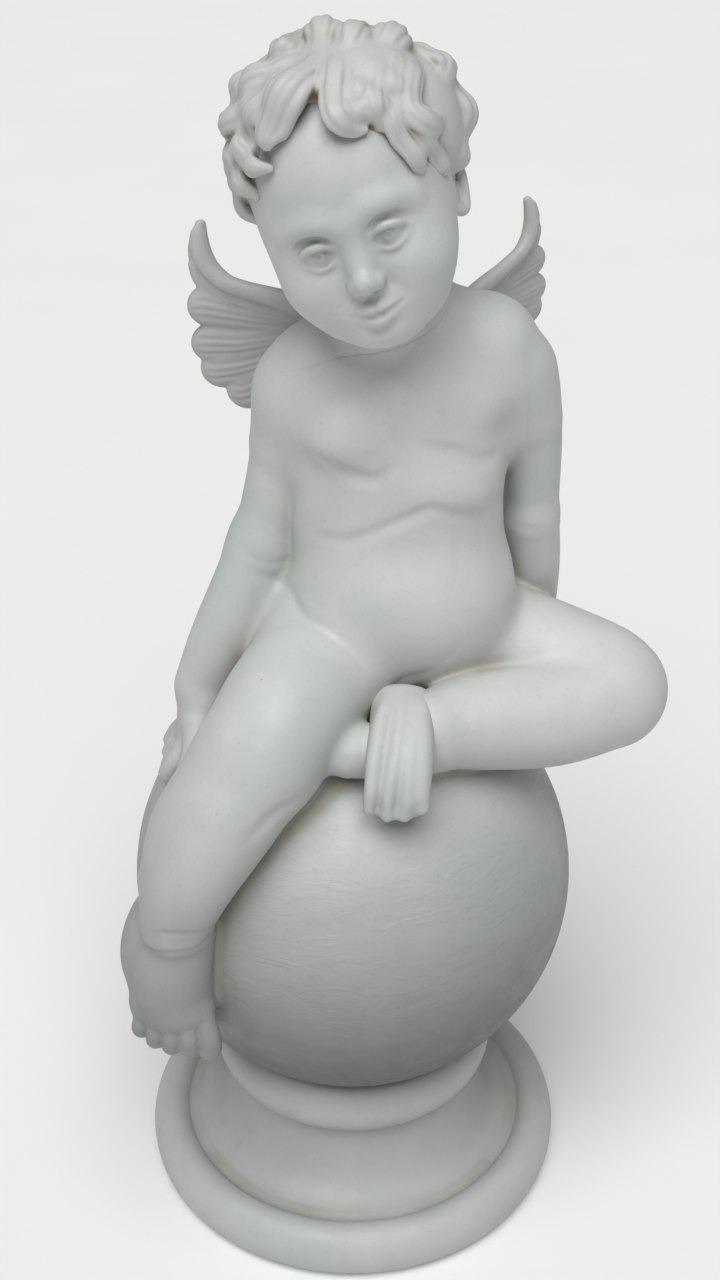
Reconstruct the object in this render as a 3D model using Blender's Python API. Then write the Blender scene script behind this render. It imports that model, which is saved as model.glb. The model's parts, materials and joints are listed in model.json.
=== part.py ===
"""Plaster cherub seated on a ball above a round turned plinth.

Metres, +Z up. The origin is the centre of the plinth's underside, and the figure faces -Y.
The figure and the ball are one casting. The plinth is a piece of its own, whose collar holds the ball.
"""
import itertools
import math

import bmesh
import bpy
import numpy as np

# Driving dimensions
SITTING_HEIGHT = 0.3006
BALL_DIAMETER = 0.222
PLINTH_DIAMETER = 0.224
PLINTH_HEIGHT = 0.0895
FOOT_DIAMETER = 0.208
RIM_WIDTH = 0.023
RIM_HEIGHT = 0.0265
RIM_DIP = 0.0045
RIM_LEDGE = 0.001
NECK_DIAMETER = 0.126
COLLAR_DIAMETER = 0.149
COLLAR_HEIGHT = 0.0285
SEAT_DIAMETER = 0.125
SEAT_CLEARANCE = 0.0004

# Fineness of the facets
GRID_STEP = 3.0
FIGURE_TRIANGLES = 7400
PLINTH_SEGMENTS = 56

# The figure is modelled in units of which its sitting height has this many, from the ball's top
SITTING_UNITS = 300.6
SEAT_LEVEL = 292.4

BALL_RADIUS = BALL_DIAMETER / 2
FIGURE_UNIT = SITTING_HEIGHT / SITTING_UNITS
BALL_CENTRE_HEIGHT = PLINTH_HEIGHT + math.sqrt((BALL_RADIUS + SEAT_CLEARANCE) ** 2 - (SEAT_DIAMETER / 2) ** 2)
BALL_UNITS = BALL_RADIUS / FIGURE_UNIT
BALL_CENTRE = (0.0, 0.0, SEAT_LEVEL - BALL_UNITS)

FAR = 30.0
CORNERS = np.array([(i, j, k) for i in (0, 1) for j in (0, 1) for k in (0, 1)])


def rotation(yaw=0.0, roll=0.0, pitch=0.0):
    """Turn about Z, then Y, then X of the turned body, in degrees."""
    y, r, p = (math.radians(angle) for angle in (yaw, roll, pitch))
    about_z = np.array([[math.cos(y), -math.sin(y), 0], [math.sin(y), math.cos(y), 0], [0, 0, 1]])
    about_y = np.array([[math.cos(r), 0, math.sin(r)], [0, 1, 0], [-math.sin(r), 0, math.cos(r)]])
    about_x = np.array([[1, 0, 0], [0, math.cos(p), -math.sin(p)], [0, math.sin(p), math.cos(p)]])
    return about_z @ about_y @ about_x


class Pose:
    """A local frame. Side -1 mirrors its X, and bow bends its X-Z plane."""

    def __init__(self, origin=(0, 0, 0), yaw=0.0, roll=0.0, pitch=0.0, side=1, bow=0.0):
        self.origin = np.array(origin, float)
        self.matrix = rotation(yaw, roll, pitch)
        self.side = side
        self.bow = bow

    def mirrored(self, side):
        """The same frame with its X towards the given side."""
        other = Pose(self.origin, side=side, bow=self.bow)
        other.matrix = self.matrix
        return other

    def local(self, x, y, z):
        """Figure coordinates to local ones."""
        dx, dy, dz = x - self.origin[0], y - self.origin[1], z - self.origin[2]
        m = self.matrix.astype(np.float32)
        a, b, c = (m[0, i] * dx + m[1, i] * dy + m[2, i] * dz for i in range(3))
        return a * self.side, b - self.bow * a * a, c

    def world(self, points):
        """Local points to figure coordinates."""
        moved = np.array(points, float).reshape(-1, 3)
        moved[:, 0] *= self.side
        moved[:, 1] += self.bow * moved[:, 0] ** 2
        return moved @ self.matrix.T + self.origin


WORLD = Pose()


def smooth_line(points, values, steps):
    """A smooth curve through the points, with a value carried along it."""
    row = np.column_stack([np.array(points, float), np.array(values, float)])
    row = np.vstack([2 * row[0] - row[1], row, 2 * row[-1] - row[-2]])
    line = []
    for i in range(1, len(row) - 2):
        before, here, after, later = row[i - 1:i + 3]
        for t in np.arange(steps) / steps:
            bend = (2 * before - 5 * here + 4 * after - later) * t ** 2
            turn = (3 * here - before - 3 * after + later) * t ** 3
            line.append(0.5 * (2 * here + (after - before) * t + bend + turn))
    line = np.array(line + [row[-2]])
    return line[:, :3], np.maximum(line[:, 3], 0.3)


class Ellipsoid:
    """A round mass with three radii, turned in its frame."""

    def __init__(self, centre, radii, yaw=0.0, roll=0.0, pitch=0.0):
        self.centre = np.array(centre, float)
        self.radii = np.array(radii, float)
        self.matrix = rotation(yaw, roll, pitch)

    def corners(self):
        """The corners of the box around it."""
        return ((CORNERS * 2 - 1) * self.radii) @ self.matrix.T + self.centre

    def distance(self, x, y, z):
        """About how far each point is outside."""
        x, y, z = x - self.centre[0], y - self.centre[1], z - self.centre[2]
        m = self.matrix.astype(np.float32)
        x, y, z = (m[0, i] * x + m[1, i] * y + m[2, i] * z for i in range(3))
        rx, ry, rz = self.radii
        share = np.sqrt((x / rx) ** 2 + (y / ry) ** 2 + (z / rz) ** 2)
        slope = np.sqrt((x / rx ** 2) ** 2 + (y / ry ** 2) ** 2 + (z / rz ** 2) ** 2)
        return share * (share - 1.0) / np.maximum(slope, 1e-6)


class Strand:
    """A round body along a smooth line, with a radius at each point. Squash flattens it along an axis."""

    def __init__(self, points, radii, steps=4, squash=(1, 1, 1)):
        self.squash = np.array(squash, float)
        self.points, self.radii = smooth_line(points, radii, steps)

    def corners(self):
        """The corners of the box around it."""
        reach = self.radii[:, None] * self.squash
        low, high = (self.points - reach).min(0), (self.points + reach).max(0)
        return low + CORNERS * (high - low)

    def distance(self, x, y, z):
        """About how far each point is outside."""
        sx, sy, sz = self.squash
        x, y, z = x / sx, y / sy, z / sz
        nearest = FAR
        for i in range(len(self.points) - 1):
            start, along = self.points[i] / self.squash, (self.points[i + 1] - self.points[i]) / self.squash
            px, py, pz = x - start[0], y - start[1], z - start[2]
            share = np.clip((px * along[0] + py * along[1] + pz * along[2]) / max(along @ along, 1e-9), 0, 1)
            radius = self.radii[i] + share * (self.radii[i + 1] - self.radii[i])
            gap = np.sqrt((px - share * along[0]) ** 2 + (py - share * along[1]) ** 2 + (pz - share * along[2]) ** 2)
            nearest = np.minimum(nearest, gap - radius)
        return nearest * self.squash.min()


class Clay:
    """A block of space that keeps each grid point's distance to the modelled surface."""

    def __init__(self, low, high, step):
        self.step = step
        self.low = np.array(low, float)
        self.shape = tuple(np.ceil((np.array(high, float) - self.low) / step).astype(int) + 1)
        self.axes = [(self.low[i] + step * np.arange(self.shape[i])).astype(np.float32) for i in range(3)]
        self.field = np.full(self.shape, FAR, np.float32)

    def window(self, low, high):
        """The part of the grid between two corners."""
        top = np.array(self.shape)
        first = np.clip(np.floor((low - self.low) / self.step).astype(int), 0, top - 1)
        last = np.clip(np.ceil((high - self.low) / self.step).astype(int) + 1, 1, top)
        return tuple(slice(a, max(a + 1, b)) for a, b in zip(first, last))

    def coordinates(self, window):
        """X, Y and Z of the grid points in a window."""
        x, y, z = (axis[part] for axis, part in zip(self.axes, window))
        return x[:, None, None], y[None, :, None], z[None, None, :]

    def measured(self, shape, pose, blend):
        """A window around the shape, and the shape's distances in it."""
        box = pose.world(shape.corners())
        pad = blend + 2 * self.step + abs(pose.bow) * 80 ** 2
        window = self.window(box.min(0) - pad, box.max(0) + pad)
        return window, shape.distance(*pose.local(*self.coordinates(window)))

    def add(self, shape, blend, pose=WORLD):
        """Join a shape to the clay with a fillet as wide as the blend."""
        window, gap = self.measured(shape, pose, blend)
        held = self.field[window]
        near = np.maximum(blend - np.abs(held - gap), 0.0) / blend
        self.field[window] = np.minimum(held, gap) - near * near * blend / 4

    def carve(self, shape, blend, pose=WORLD):
        """Take a shape out of the clay, with a softened edge."""
        window, gap = self.measured(shape, pose, blend)
        held = self.field[window]
        near = np.maximum(blend - np.abs(held + gap), 0.0) / blend
        self.field[window] = np.maximum(held, -gap) + near * near * blend / 4

    def groove(self, points, width, depth, pose=WORLD):
        """Press a soft groove along a line that is first moved onto the surface."""
        line, _ = smooth_line(points, np.ones(len(points)), 6)
        line = self.settled(pose.world(line))
        taper = np.sqrt(np.sin(np.pi * (np.arange(len(line)) + 0.5) / len(line)))
        window = self.window(line.min(0) - 3 * width, line.max(0) + 3 * width)
        x, y, z = self.coordinates(window)
        push = 0.0
        for point, strength in zip(line, taper):
            away = (x - point[0]) ** 2 + (y - point[1]) ** 2 + (z - point[2]) ** 2
            push = np.maximum(push, strength * np.exp(-away / width ** 2))
        self.field[window] += depth * push

    def sampled(self, points):
        """The distance at any points, read between the grid points."""
        place = np.clip((points - self.low) / self.step, 0, np.array(self.shape) - 1.001)
        cell = place.astype(int)
        part = place - cell
        total = 0.0
        for corner in CORNERS:
            share = np.prod(np.where(corner, part, 1 - part), axis=1)
            i, j, k = (cell + corner).T
            total = total + share * self.field[i, j, k]
        return total

    def slope(self, points):
        """The outward direction at any points."""
        steps = np.eye(3) * self.step
        rise = np.stack([self.sampled(points + step) - self.sampled(points - step) for step in steps], 1)
        return rise / np.maximum(np.linalg.norm(rise, axis=1, keepdims=True), 1e-9)

    def settled(self, points, rounds=8):
        """The points moved onto the surface."""
        moved = np.array(points, float)
        for _ in range(rounds):
            gap = np.clip(self.sampled(moved), -6, 6)
            moved -= self.slope(moved) * gap[:, None] * 0.9
        return moved

    def surface(self):
        """Points and triangles where the distance passes through zero, from six tetrahedra in each cell."""
        inside = self.field < 0
        blocks = [tuple(slice(c[a], self.shape[a] - 1 + c[a]) for a in range(3)) for c in CORNERS]
        filled = sum(inside[block].astype(np.uint8) for block in blocks)
        cells = np.argwhere((filled > 0) & (filled < 8))
        found = []
        for order in itertools.permutations(range(3)):
            path = np.vstack([np.zeros((1, 3), int), np.cumsum(np.eye(3, dtype=int)[list(order)], axis=0)])
            spots = cells[:, None, :] + path
            solid = inside[spots[..., 0], spots[..., 1], spots[..., 2]]
            for pattern in itertools.product((False, True), repeat=4):
                chosen = spots[(solid == pattern).all(1)]
                found += [self.cut_triangles(chosen, cuts) for cuts in tetrahedron_cuts(pattern)]
        ends = np.vstack(found)
        keys, corner = np.unique(ends.reshape(-1, 6), axis=0, return_inverse=True)
        low, high = keys[:, :3], keys[:, 3:]
        start, stop = self.field[tuple(low.T)], self.field[tuple(high.T)]
        share = np.clip(start / (start - stop), 0.03, 0.97)[:, None]
        points = (low + share * (high - low)) * self.step + self.low
        return points, corner.reshape(-1, 3)

    def cut_triangles(self, spots, cuts):
        """The grid lines that one triangle's corners lie on, for every tetrahedron cut in the same way."""
        corners = [np.hstack([spots[:, min(cut)], spots[:, max(cut)]]) for cut in cuts]
        middles = [(corner[:, :3] + corner[:, 3:]) / 2 for corner in corners]
        normal = np.cross(middles[1] - middles[0], middles[2] - middles[0])
        outward = sum(spots[:, b] - spots[:, a] for a, b in cuts)
        turned = (normal * outward).sum(1) < 0
        triangles = np.stack(corners, 1)
        triangles[turned] = triangles[turned][:, ::-1]
        return triangles


def tetrahedron_cuts(pattern):
    """The triangles across a tetrahedron, each as three cuts from a solid corner to an empty one."""
    solid = [i for i in range(4) if pattern[i]]
    empty = [i for i in range(4) if not pattern[i]]
    if len(solid) == 1:
        return [[(solid[0], i) for i in empty]]
    if len(solid) == 3:
        return [[(i, empty[0]) for i in solid]]
    if len(solid) == 2:
        ring = [(solid[0], empty[0]), (solid[0], empty[1]), (solid[1], empty[1]), (solid[1], empty[0])]
        return [ring[:3], [ring[0], ring[2], ring[3]]]
    return []


# The figure's frames: the chest, the belly and the head each lean and turn on their own
CHEST = Pose((24, 16, 412), yaw=14, roll=-11)
BELLY = Pose((25, 4, 340), yaw=8, roll=3)
HEAD = Pose((2, -4, 526), yaw=-5, roll=-20, pitch=4)
BOTH_SIDES = (-1, 1)

SCALP_CENTRE = np.array([0, 9, 20.0])
SCALP_RADII = np.array([42, 49, 41.0])
HAIR_SEED = 7


def model_ball(clay):
    """The ball that the figure sits on."""
    clay.add(Ellipsoid(BALL_CENTRE, (BALL_UNITS,) * 3), 1)


def model_seat(clay):
    """Hips and seat, one plain mass behind."""
    clay.add(Ellipsoid((25, 20, 312), (55, 42, 32)), 3)
    clay.add(Ellipsoid((-14, 12, 326), (30, 30, 30)), 12)
    clay.add(Ellipsoid((25, 33, 306), (62, 37, 31)), 12)


def model_legs(clay):
    """The right leg hangs over the ball, and the left one is folded across it."""
    clay.add(Strand([(0, 14, 306), (-16, -16, 307), (-30, -44, 303), (-41, -62, 294)], [36, 34, 32, 29]), 14)
    clay.add(Strand([(50, 22, 306), (84, 12, 302), (116, -2, 297), (124, -8, 295)], [33, 30, 27.5, 26]), 14)
    clay.add(Strand([(-43, -63, 290), (-55, -82, 269), (-68, -92, 245), (-78, -93, 222)], [27.5, 26, 23, 17.5]), 7)
    clay.add(Strand([(122, -12, 293), (94, -24, 290), (64, -32, 291), (40, -42, 293)], [26, 25, 23, 18]), 5)


def model_right_foot(clay):
    """The hanging foot with its five toes."""
    clay.add(Ellipsoid((-91, -73, 202), (16, 19, 20)), 8)
    clay.add(Strand([(-79, -93, 220), (-81, -97, 198), (-83, -99, 176)], [17, 17, 15]), 6)
    clay.add(Strand([(-91, -87, 196), (-92, -91, 176)], [14.5, 13.5]), 8)
    toes = [(-66, -99, 166, 7.4, 147), (-76.5, -102, 165, 5.5, 150), (-85, -101, 165, 5.2, 152),
            (-92.5, -98, 166, 4.9, 154), (-99.5, -94, 168, 4.7, 157)]
    for x, y, z, radius, tip in toes:
        clay.add(Strand([(x, y, z), (x, y - 2.5, (z + tip) / 2), (x, y - 1, tip)], [radius, radius, radius * 0.9]), 2.2)


def model_left_foot(clay):
    """The tucked foot, mostly under the cloth."""
    clay.add(Ellipsoid((34, -46, 292), (17, 14, 16)), 8)
    clay.add(Strand([(34, -48, 293), (14, -57, 292), (-2, -60, 291)], [15, 13, 11]), 6)


def model_trunk(clay):
    """Belly and chest on a column that is wider than it is deep."""
    clay.add(Ellipsoid((0, 5, 4), (51, 41, 44)), 7, BELLY)
    clay.add(Ellipsoid((-1, -11, -3), (42, 34, 33)), 12, BELLY)
    spine = [(25, 16, 316), (22, 12, 346), (20, 12, 380), (21, 16, 414), (23, 18, 440)]
    clay.add(Strand(spine, [37, 36, 35, 34, 30], squash=(1.42, 1, 1)), 6)
    clay.add(Ellipsoid((0, 2, -2), (47, 33, 44)), 8, CHEST)
    clay.add(Ellipsoid((0, 4, 24), (52, 27, 26)), 12, CHEST)
    for side in BOTH_SIDES:
        frame = CHEST.mirrored(side)
        clay.add(Ellipsoid((22, -12, 6), (25, 17, 20), yaw=-14), 9, frame)
        clay.add(Strand([(8, 8, 54), (26, 8, 47), (42, 8, 38)], [19, 19, 18]), 14, frame)
        clay.add(Ellipsoid((24, 24, 14), (18, 11, 24)), 12, frame)


def model_arms(clay):
    """Both arms hang beside the trunk and prop on the ball."""
    clay.add(Strand([(-18, 18, 442), (-25, 18, 428), (-31, 18, 412)], [19, 19, 16]), 14)
    clay.add(Strand([(-26, 18, 432), (-32, 19, 404), (-38, 18, 376), (-43, 18, 358)], [17, 15.4, 15, 15]), 4)
    clay.add(Strand([(-44, 15, 358), (-52, 11, 336), (-62, 6, 312), (-71, 2, 290)], [15.8, 16.4, 14.8, 12]), 4)
    clay.add(Strand([(64, 24, 456), (73, 26, 440), (79, 28, 420)], [19, 19, 16]), 14)
    clay.add(Strand([(75, 26, 444), (82, 29, 414), (84, 33, 386), (84, 35, 366)], [16.5, 14.6, 14, 14]), 4)
    clay.add(Strand([(84, 34, 366), (86, 39, 342), (88, 45, 316), (88, 50, 292)], [14.8, 15.2, 13.6, 11.4]), 4)


def model_hands(clay):
    """Each hand lies on the ball with its fingers side by side."""
    clay.add(Ellipsoid((-79, -3, 272), (11, 15, 19), roll=18), 6)
    for finger, (start, end) in enumerate([(-13, -16), (-6, -7), (1, 2), (8, 10)]):
        short = abs(finger - 1)
        line = [(-84, start, 262), (-91, end, 249 + 2 * short), (-96, end, 238 + 3 * short)]
        clay.add(Strand(line, [5.8, 5.4, 4.6]), 2.2)
    clay.add(Strand([(-75, -13, 276), (-76, -21, 267), (-80, -26, 258)], [7, 6.2, 5]), 3)
    clay.add(Ellipsoid((87, 53, 264), (12, 15, 18), roll=-22), 6)
    for start, end in ((44, 42), (51, 50), (58, 58), (65, 66)):
        clay.add(Strand([(91, start, 256), (98, end, 242), (102, end, 230)], [5.8, 5.4, 4.6]), 2.2)


def model_head(clay):
    """Neck, skull, cheeks and ears."""
    clay.add(Strand([(23, 20, 448), (20, 16, 466), (14, 10, 484), (7, 6, 502)], [32, 27, 25, 27]), 12)
    clay.add(Ellipsoid(SCALP_CENTRE, SCALP_RADII), 6, HEAD)
    clay.add(Ellipsoid((0, -8, 3), (36.5, 34, 38)), 8, HEAD)
    clay.add(Ellipsoid((0, -14, -24), (27, 25, 23)), 10, HEAD)
    for side in BOTH_SIDES:
        frame = HEAD.mirrored(side)
        clay.add(Ellipsoid((19, -21, -20), (17, 16.5, 16.5)), 9, frame)
        clay.add(Ellipsoid((24, -6, -4), (14.5, 24, 27)), 10, frame)
        clay.add(Strand([(38, 4, -14), (41, 6, -6), (41, 8, 4)], [3.2, 4.2, 4.6]), 2.5, frame)
    clay.add(Ellipsoid((0, -29, -31), (15, 14.5, 13)), 8, HEAD)
    clay.add(Ellipsoid((0, -31.5, -42), (11, 10, 7.5)), 6, HEAD)
    clay.add(Ellipsoid((0, -16, -38), (21, 18, 10)), 8, HEAD)


def model_face(clay):
    """A calm child's face with lowered lids, alike on both sides."""
    for side in BOTH_SIDES:
        frame = HEAD.mirrored(side)
        clay.carve(Ellipsoid((14.5, -46.5, -1), (10.5, 8.5, 7.2)), 7, frame)
        brow = [(5, -40, 8.5), (12, -41.5, 10.5), (20, -38.5, 10), (27, -32, 6)]
        clay.add(Strand(brow, [2.6, 3.0, 2.8, 2.2]), 7, frame)
    ridge = [(0, -38.5, 5), (0, -40.5, -4), (0, -43.5, -11), (0, -46, -16.5)]
    clay.add(Strand(ridge, [4.8, 4.6, 5.0, 5.4]), 7, HEAD)
    clay.add(Ellipsoid((0, -48.2, -17.6), (5, 4.6, 4.5)), 3.5, HEAD)
    for side in BOTH_SIDES:
        frame = HEAD.mirrored(side)
        clay.add(Ellipsoid((5.8, -44.2, -19), (3.5, 4.4, 3.4)), 3, frame)
        clay.add(Ellipsoid((14.6, -31.0, -1.5), (9.4, 9.0, 8.2)), 1.2, frame)
    upper_lip = [(-9, -39.6, -30.6), (-3, -44.2, -28.6), (0, -44.2, -29), (3, -44.2, -28.6), (9, -39.6, -30.6)]
    clay.add(Strand(upper_lip, [1.4, 2.3, 2.3, 2.3, 1.4]), 2.2, HEAD)
    clay.add(Strand([(-7.4, -40, -32), (0, -43.6, -34.2), (7.4, -40, -32)], [1.4, 2.9, 1.4]), 2.2, HEAD)


def on_scalp(direction, height):
    """The point at a height above the scalp in a direction from its centre."""
    reach = 1 / math.sqrt(((direction / SCALP_RADII) ** 2).sum())
    return SCALP_CENTRE + direction * (reach + height)


def unit(vector):
    """The vector at length one."""
    return vector / max(np.linalg.norm(vector), 1e-6)


def model_lock(clay, longitude, latitude, heading, length, curl, radius):
    """A lock lying on the scalp as three strands side by side, turned by its curl towards the tip."""
    count = 7
    lon, lat = math.radians(longitude), math.radians(latitude)
    place = on_scalp(np.array([math.sin(lon) * math.cos(lat), -math.cos(lon) * math.cos(lat), math.sin(lat)]), 5)
    points = []
    outward = []
    for share in np.linspace(0, 1, count):
        normal = unit(place - SCALP_CENTRE)
        place = on_scalp(normal, 5 + 3.5 * math.sin(math.pi * share) + 2 * share ** 2)
        points.append(place)
        outward.append(normal)
        down = unit(normal * normal[2] - np.array([0, 0, 1]))
        angle = math.radians(heading + curl * share ** 1.3)
        aside = np.cross(normal, down)
        place = place + (down * math.cos(angle) + aside * math.sin(angle)) * length / (count - 1)
    points, outward = np.array(points), np.array(outward)
    along = np.gradient(points, axis=0)
    across = np.cross(along / np.linalg.norm(along, axis=1, keepdims=True), outward)
    profile = radius * np.interp(np.linspace(0, 1, count), [0, 0.2, 0.5, 0.75, 1], [0.7, 0.95, 1, 0.8, 0.35])
    for shift in (-1, 0, 1):
        line = points + across * (shift * profile * 0.62)[:, None] - outward * (abs(shift) * profile * 0.18)[:, None]
        clay.add(Strand(line, profile * (0.66 - 0.08 * abs(shift)), steps=3), 1.6, HEAD)


def model_hair(clay):
    """Short tousled curls: rings of locks over the crown, sides and back, and a chosen fringe."""
    random = np.random.default_rng(HAIR_SEED)
    clay.add(Ellipsoid((0, 17, 23), (46, 47, 44)), 3, HEAD)
    clay.add(Ellipsoid((0, 24, 2), (42, 37, 34)), 4, HEAD)
    clay.add(Ellipsoid((0, 6, 30), (44, 48, 37)), 4, HEAD)
    rings = [(78, 5, 30, 0), (58, 9, 32, 50), (38, 12, 32, 50), (18, 13, 32, 78), (0, 12, 30, 78), (-18, 9, 28, 105)]
    for latitude, count, length, open_front in rings:
        for i in range(count):
            longitude = 360 * i / count - 180 + random.uniform(-6, 6)
            curl = random.choice([-1, 1]) * random.uniform(70, 150)
            heading = random.uniform(-35, 35) - curl / 4
            radius = random.uniform(5.6, 7.2)
            if abs(longitude) > open_front:
                model_lock(clay, longitude, latitude + random.uniform(-4, 4), heading, length, curl, radius)
    fringe = [(-84, -6, 0, 28, -80, 5.6), (-72, 12, -10, 34, 60, 6.4), (-58, 34, 12, 38, 70, 7),
              (-40, 48, 26, 44, 50, 7.6), (-20, 56, 24, 40, 70, 7), (-2, 56, -4, 34, 130, 6),
              (8, 60, -30, 34, -120, 6.2), (24, 54, -28, 40, -70, 7.2), (42, 44, -30, 40, 90, 7),
              (58, 34, -14, 36, -80, 6.8), (72, 16, 4, 34, -70, 6.4), (82, -4, 0, 28, 80, 5.6)]
    for lock in fringe:
        model_lock(clay, *lock)


def model_wing(clay, pose, size):
    """A short wing: feathers that fan out under a thick leading edge, with coverts over their roots."""
    feathers = [((44, 10), (54, 18), (61, 23), (66, 25), 9.0), ((30, 6), (46, 7), (58, 6), (68, 5), 8.8),
                ((22, 2), (40, -1), (54, -6), (67, -12), 8.8), ((12, -2), (32, -8), (47, -17), (60, -27), 8.8),
                ((6, -6), (22, -15), (36, -26), (48, -36), 8.6), ((0, -8), (12, -18), (24, -29), (34, -38), 8.4),
                ((-4, -10), (4, -22), (12, -30), (20, -37), 8), ((-8, -10), (-2, -22), (2, -28), (7, -34), 7)]
    for row, (*line, radius) in enumerate(feathers):
        depth = 1.3 * row - 1.7
        points = [(size * x, depth, size * z) for x, z in line]
        clay.add(Strand(points, size * radius * np.array([0.8, 1, 1, 0.92]), squash=(1, 0.42, 1)), 1.0, pose)
    coverts = [((34, 8), (48, 10), (56, 9)), ((26, 5), (40, 3), (49, -2)), ((16, 2), (30, -3), (40, -11)),
               ((8, -2), (20, -9), (30, -19)), ((0, -6), (10, -14), (17, -24))]
    for row, line in enumerate(coverts):
        points = [(size * x, 1.2 * row - 4.7, size * z) for x, z in line]
        clay.add(Strand(points, size * np.array([5.6, 5.6, 4.8]), squash=(1, 0.5, 1)), 0.9, pose)
    edge = [(-6, 1, -2), (14, -1, 6), (34, -2, 11), (50, -2, 17), (60, -1, 28), (65, 0, 40)]
    line = [(size * x, y, size * z) for x, y, z in edge]
    clay.add(Strand(line, size * np.array([9.5, 8.6, 8.2, 7.6, 6.2, 3.6])), 2.0, pose)


def model_wings(clay):
    """Both wings, spread behind the shoulders."""
    model_wing(clay, Pose((-8, 42, 455), yaw=-24, side=-1, bow=-0.003), 1.0)
    model_wing(clay, Pose((50, 46, 468), yaw=52, side=1, bow=-0.003), 0.9)


def model_cloth(clay):
    """A plain fold of cloth over the lap that falls over the tucked foot."""
    folds = [((10, -36, 306), (9, -58, 303), (9, -75, 293), (9, -83, 280)),
             ((18, -38, 307), (17, -60, 304), (17, -78, 292), (16, -86, 277)),
             ((27, -38, 307), (27, -60, 304), (26, -77, 292), (25, -85, 278)),
             ((35, -36, 306), (35, -56, 303), (34, -72, 294), (33, -80, 282))]
    for line in folds:
        clay.add(Strand(line, [6.6, 7.0, 7.0, 6.4]), 3.0)


def model_creases(clay):
    """The soft lines under the breast, down its middle and across the waist."""
    clay.groove([(-38, -24, -12), (-26, -32, -17), (-12, -32, -15), (0, -30, -8)], 3.4, 2.0, CHEST)
    clay.groove([(0, -30, -8), (12, -32, -15), (28, -32, -16), (40, -24, -9)], 3.4, 1.8, CHEST)
    clay.groove([(0, -30, 34), (0, -32, 14), (0, -30, -8), (0, -28, -26)], 4, 1.2, CHEST)
    clay.groove([(-16, -24, 378), (-2, -34, 372), (16, -38, 372), (34, -34, 378)], 3.2, 2.0)


def figure_clay(step):
    """The whole casting as clay, in figure units."""
    ball_floor = BALL_CENTRE[2] - BALL_UNITS - 3 * step
    reach = BALL_UNITS + 3 * step
    clay = Clay((-max(135, reach), -max(130, reach), ball_floor), (max(165, reach), max(130, reach), 625), step)
    for model in (model_ball, model_seat, model_legs, model_right_foot, model_left_foot, model_trunk, model_arms,
                  model_hands, model_head, model_face, model_hair, model_wings, model_cloth, model_creases):
        model(clay)
    return clay


def mesh_object(name, mesh, material):
    """A smooth-shaded object with one material."""
    made = bpy.data.objects.new(name, mesh)
    bpy.context.scene.collection.objects.link(made)
    mesh.materials.append(material)
    mesh.shade_smooth()
    return made


def keep_largest(mesh):
    """Remove what isn't joined to the largest body."""
    shape = bmesh.new()
    shape.from_mesh(mesh)
    waiting = set(shape.verts)
    bodies = []
    while waiting:
        body = [waiting.pop()]
        for vert in body:
            fresh = [edge.other_vert(vert) for edge in vert.link_edges if edge.other_vert(vert) in waiting]
            waiting.difference_update(fresh)
            body.extend(fresh)
        bodies.append(body)
    bodies.sort(key=len)
    for body in bodies[:-1]:
        bmesh.ops.delete(shape, geom=body, context="VERTS")
    shape.to_mesh(mesh)
    shape.free()


def build_figure(material):
    """The figure and the ball as one faceted body."""
    clay = figure_clay(GRID_STEP)
    points, faces = clay.surface()
    mesh = bpy.data.meshes.new("cherub_on_ball")
    mesh.from_pydata(points.tolist(), [], faces.tolist())
    keep_largest(mesh)
    draft = bpy.data.objects.new("draft", mesh)
    bpy.context.scene.collection.objects.link(draft)
    thin = draft.modifiers.new("thin", "DECIMATE")
    thin.ratio = FIGURE_TRIANGLES / len(mesh.polygons)
    thin.use_collapse_triangulate = True
    evaluated = draft.evaluated_get(bpy.context.evaluated_depsgraph_get())
    finished = bpy.data.meshes.new_from_object(evaluated)
    bpy.data.objects.remove(draft)
    place = np.empty(3 * len(finished.vertices))
    finished.vertices.foreach_get("co", place)
    place = clay.settled(place.reshape(-1, 3), rounds=3)
    place -= (0, 0, SEAT_LEVEL)
    place *= FIGURE_UNIT
    place += (0, 0, BALL_CENTRE_HEIGHT + BALL_RADIUS)
    finished.vertices.foreach_set("co", place.ravel())
    return mesh_object("cherub_on_ball", finished, material)


def arc(centre, radii, start, end, count):
    """Points along a piece of an ellipse, from one angle to another in degrees."""
    angles = np.radians(np.linspace(start, end, count))
    return [(centre[0] + radii[0] * math.cos(a), centre[1] + radii[1] * math.sin(a)) for a in angles]


def plinth_profile():
    """Radius and height of the plinth's outer side, from its underside to the middle of the ball's seat."""
    rim_outer, rim_inner = PLINTH_DIAMETER / 2, PLINTH_DIAMETER / 2 - RIM_WIDTH
    rim_middle = (rim_outer + rim_inner) / 2
    rim_half = RIM_WIDTH / 2
    rim_rise = RIM_HEIGHT * 0.58
    neck = NECK_DIAMETER / 2
    collar_middle = PLINTH_HEIGHT - COLLAR_HEIGHT / 2
    cove_low = RIM_HEIGHT - RIM_DIP
    cove_high = PLINTH_HEIGHT - COLLAR_HEIGHT
    profile = [(FOOT_DIAMETER / 2, 0.0)]
    profile += arc((rim_middle, RIM_HEIGHT - rim_rise), (rim_half, rim_rise), -25, 140, 9)
    cove_foot = rim_inner - RIM_LEDGE
    profile += arc((cove_foot, cove_high), (cove_foot - neck, cove_high - cove_low), 270, 180, 7)
    profile += arc((neck, collar_middle), (COLLAR_DIAMETER / 2 - neck, COLLAR_HEIGHT / 2), -75, 72, 8)
    seat_radius = BALL_RADIUS + SEAT_CLEARANCE
    edge = -math.degrees(math.acos(SEAT_DIAMETER / 2 / seat_radius))
    profile += arc((0.0, BALL_CENTRE_HEIGHT), (seat_radius, seat_radius), edge, -90, 7)
    return profile


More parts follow.
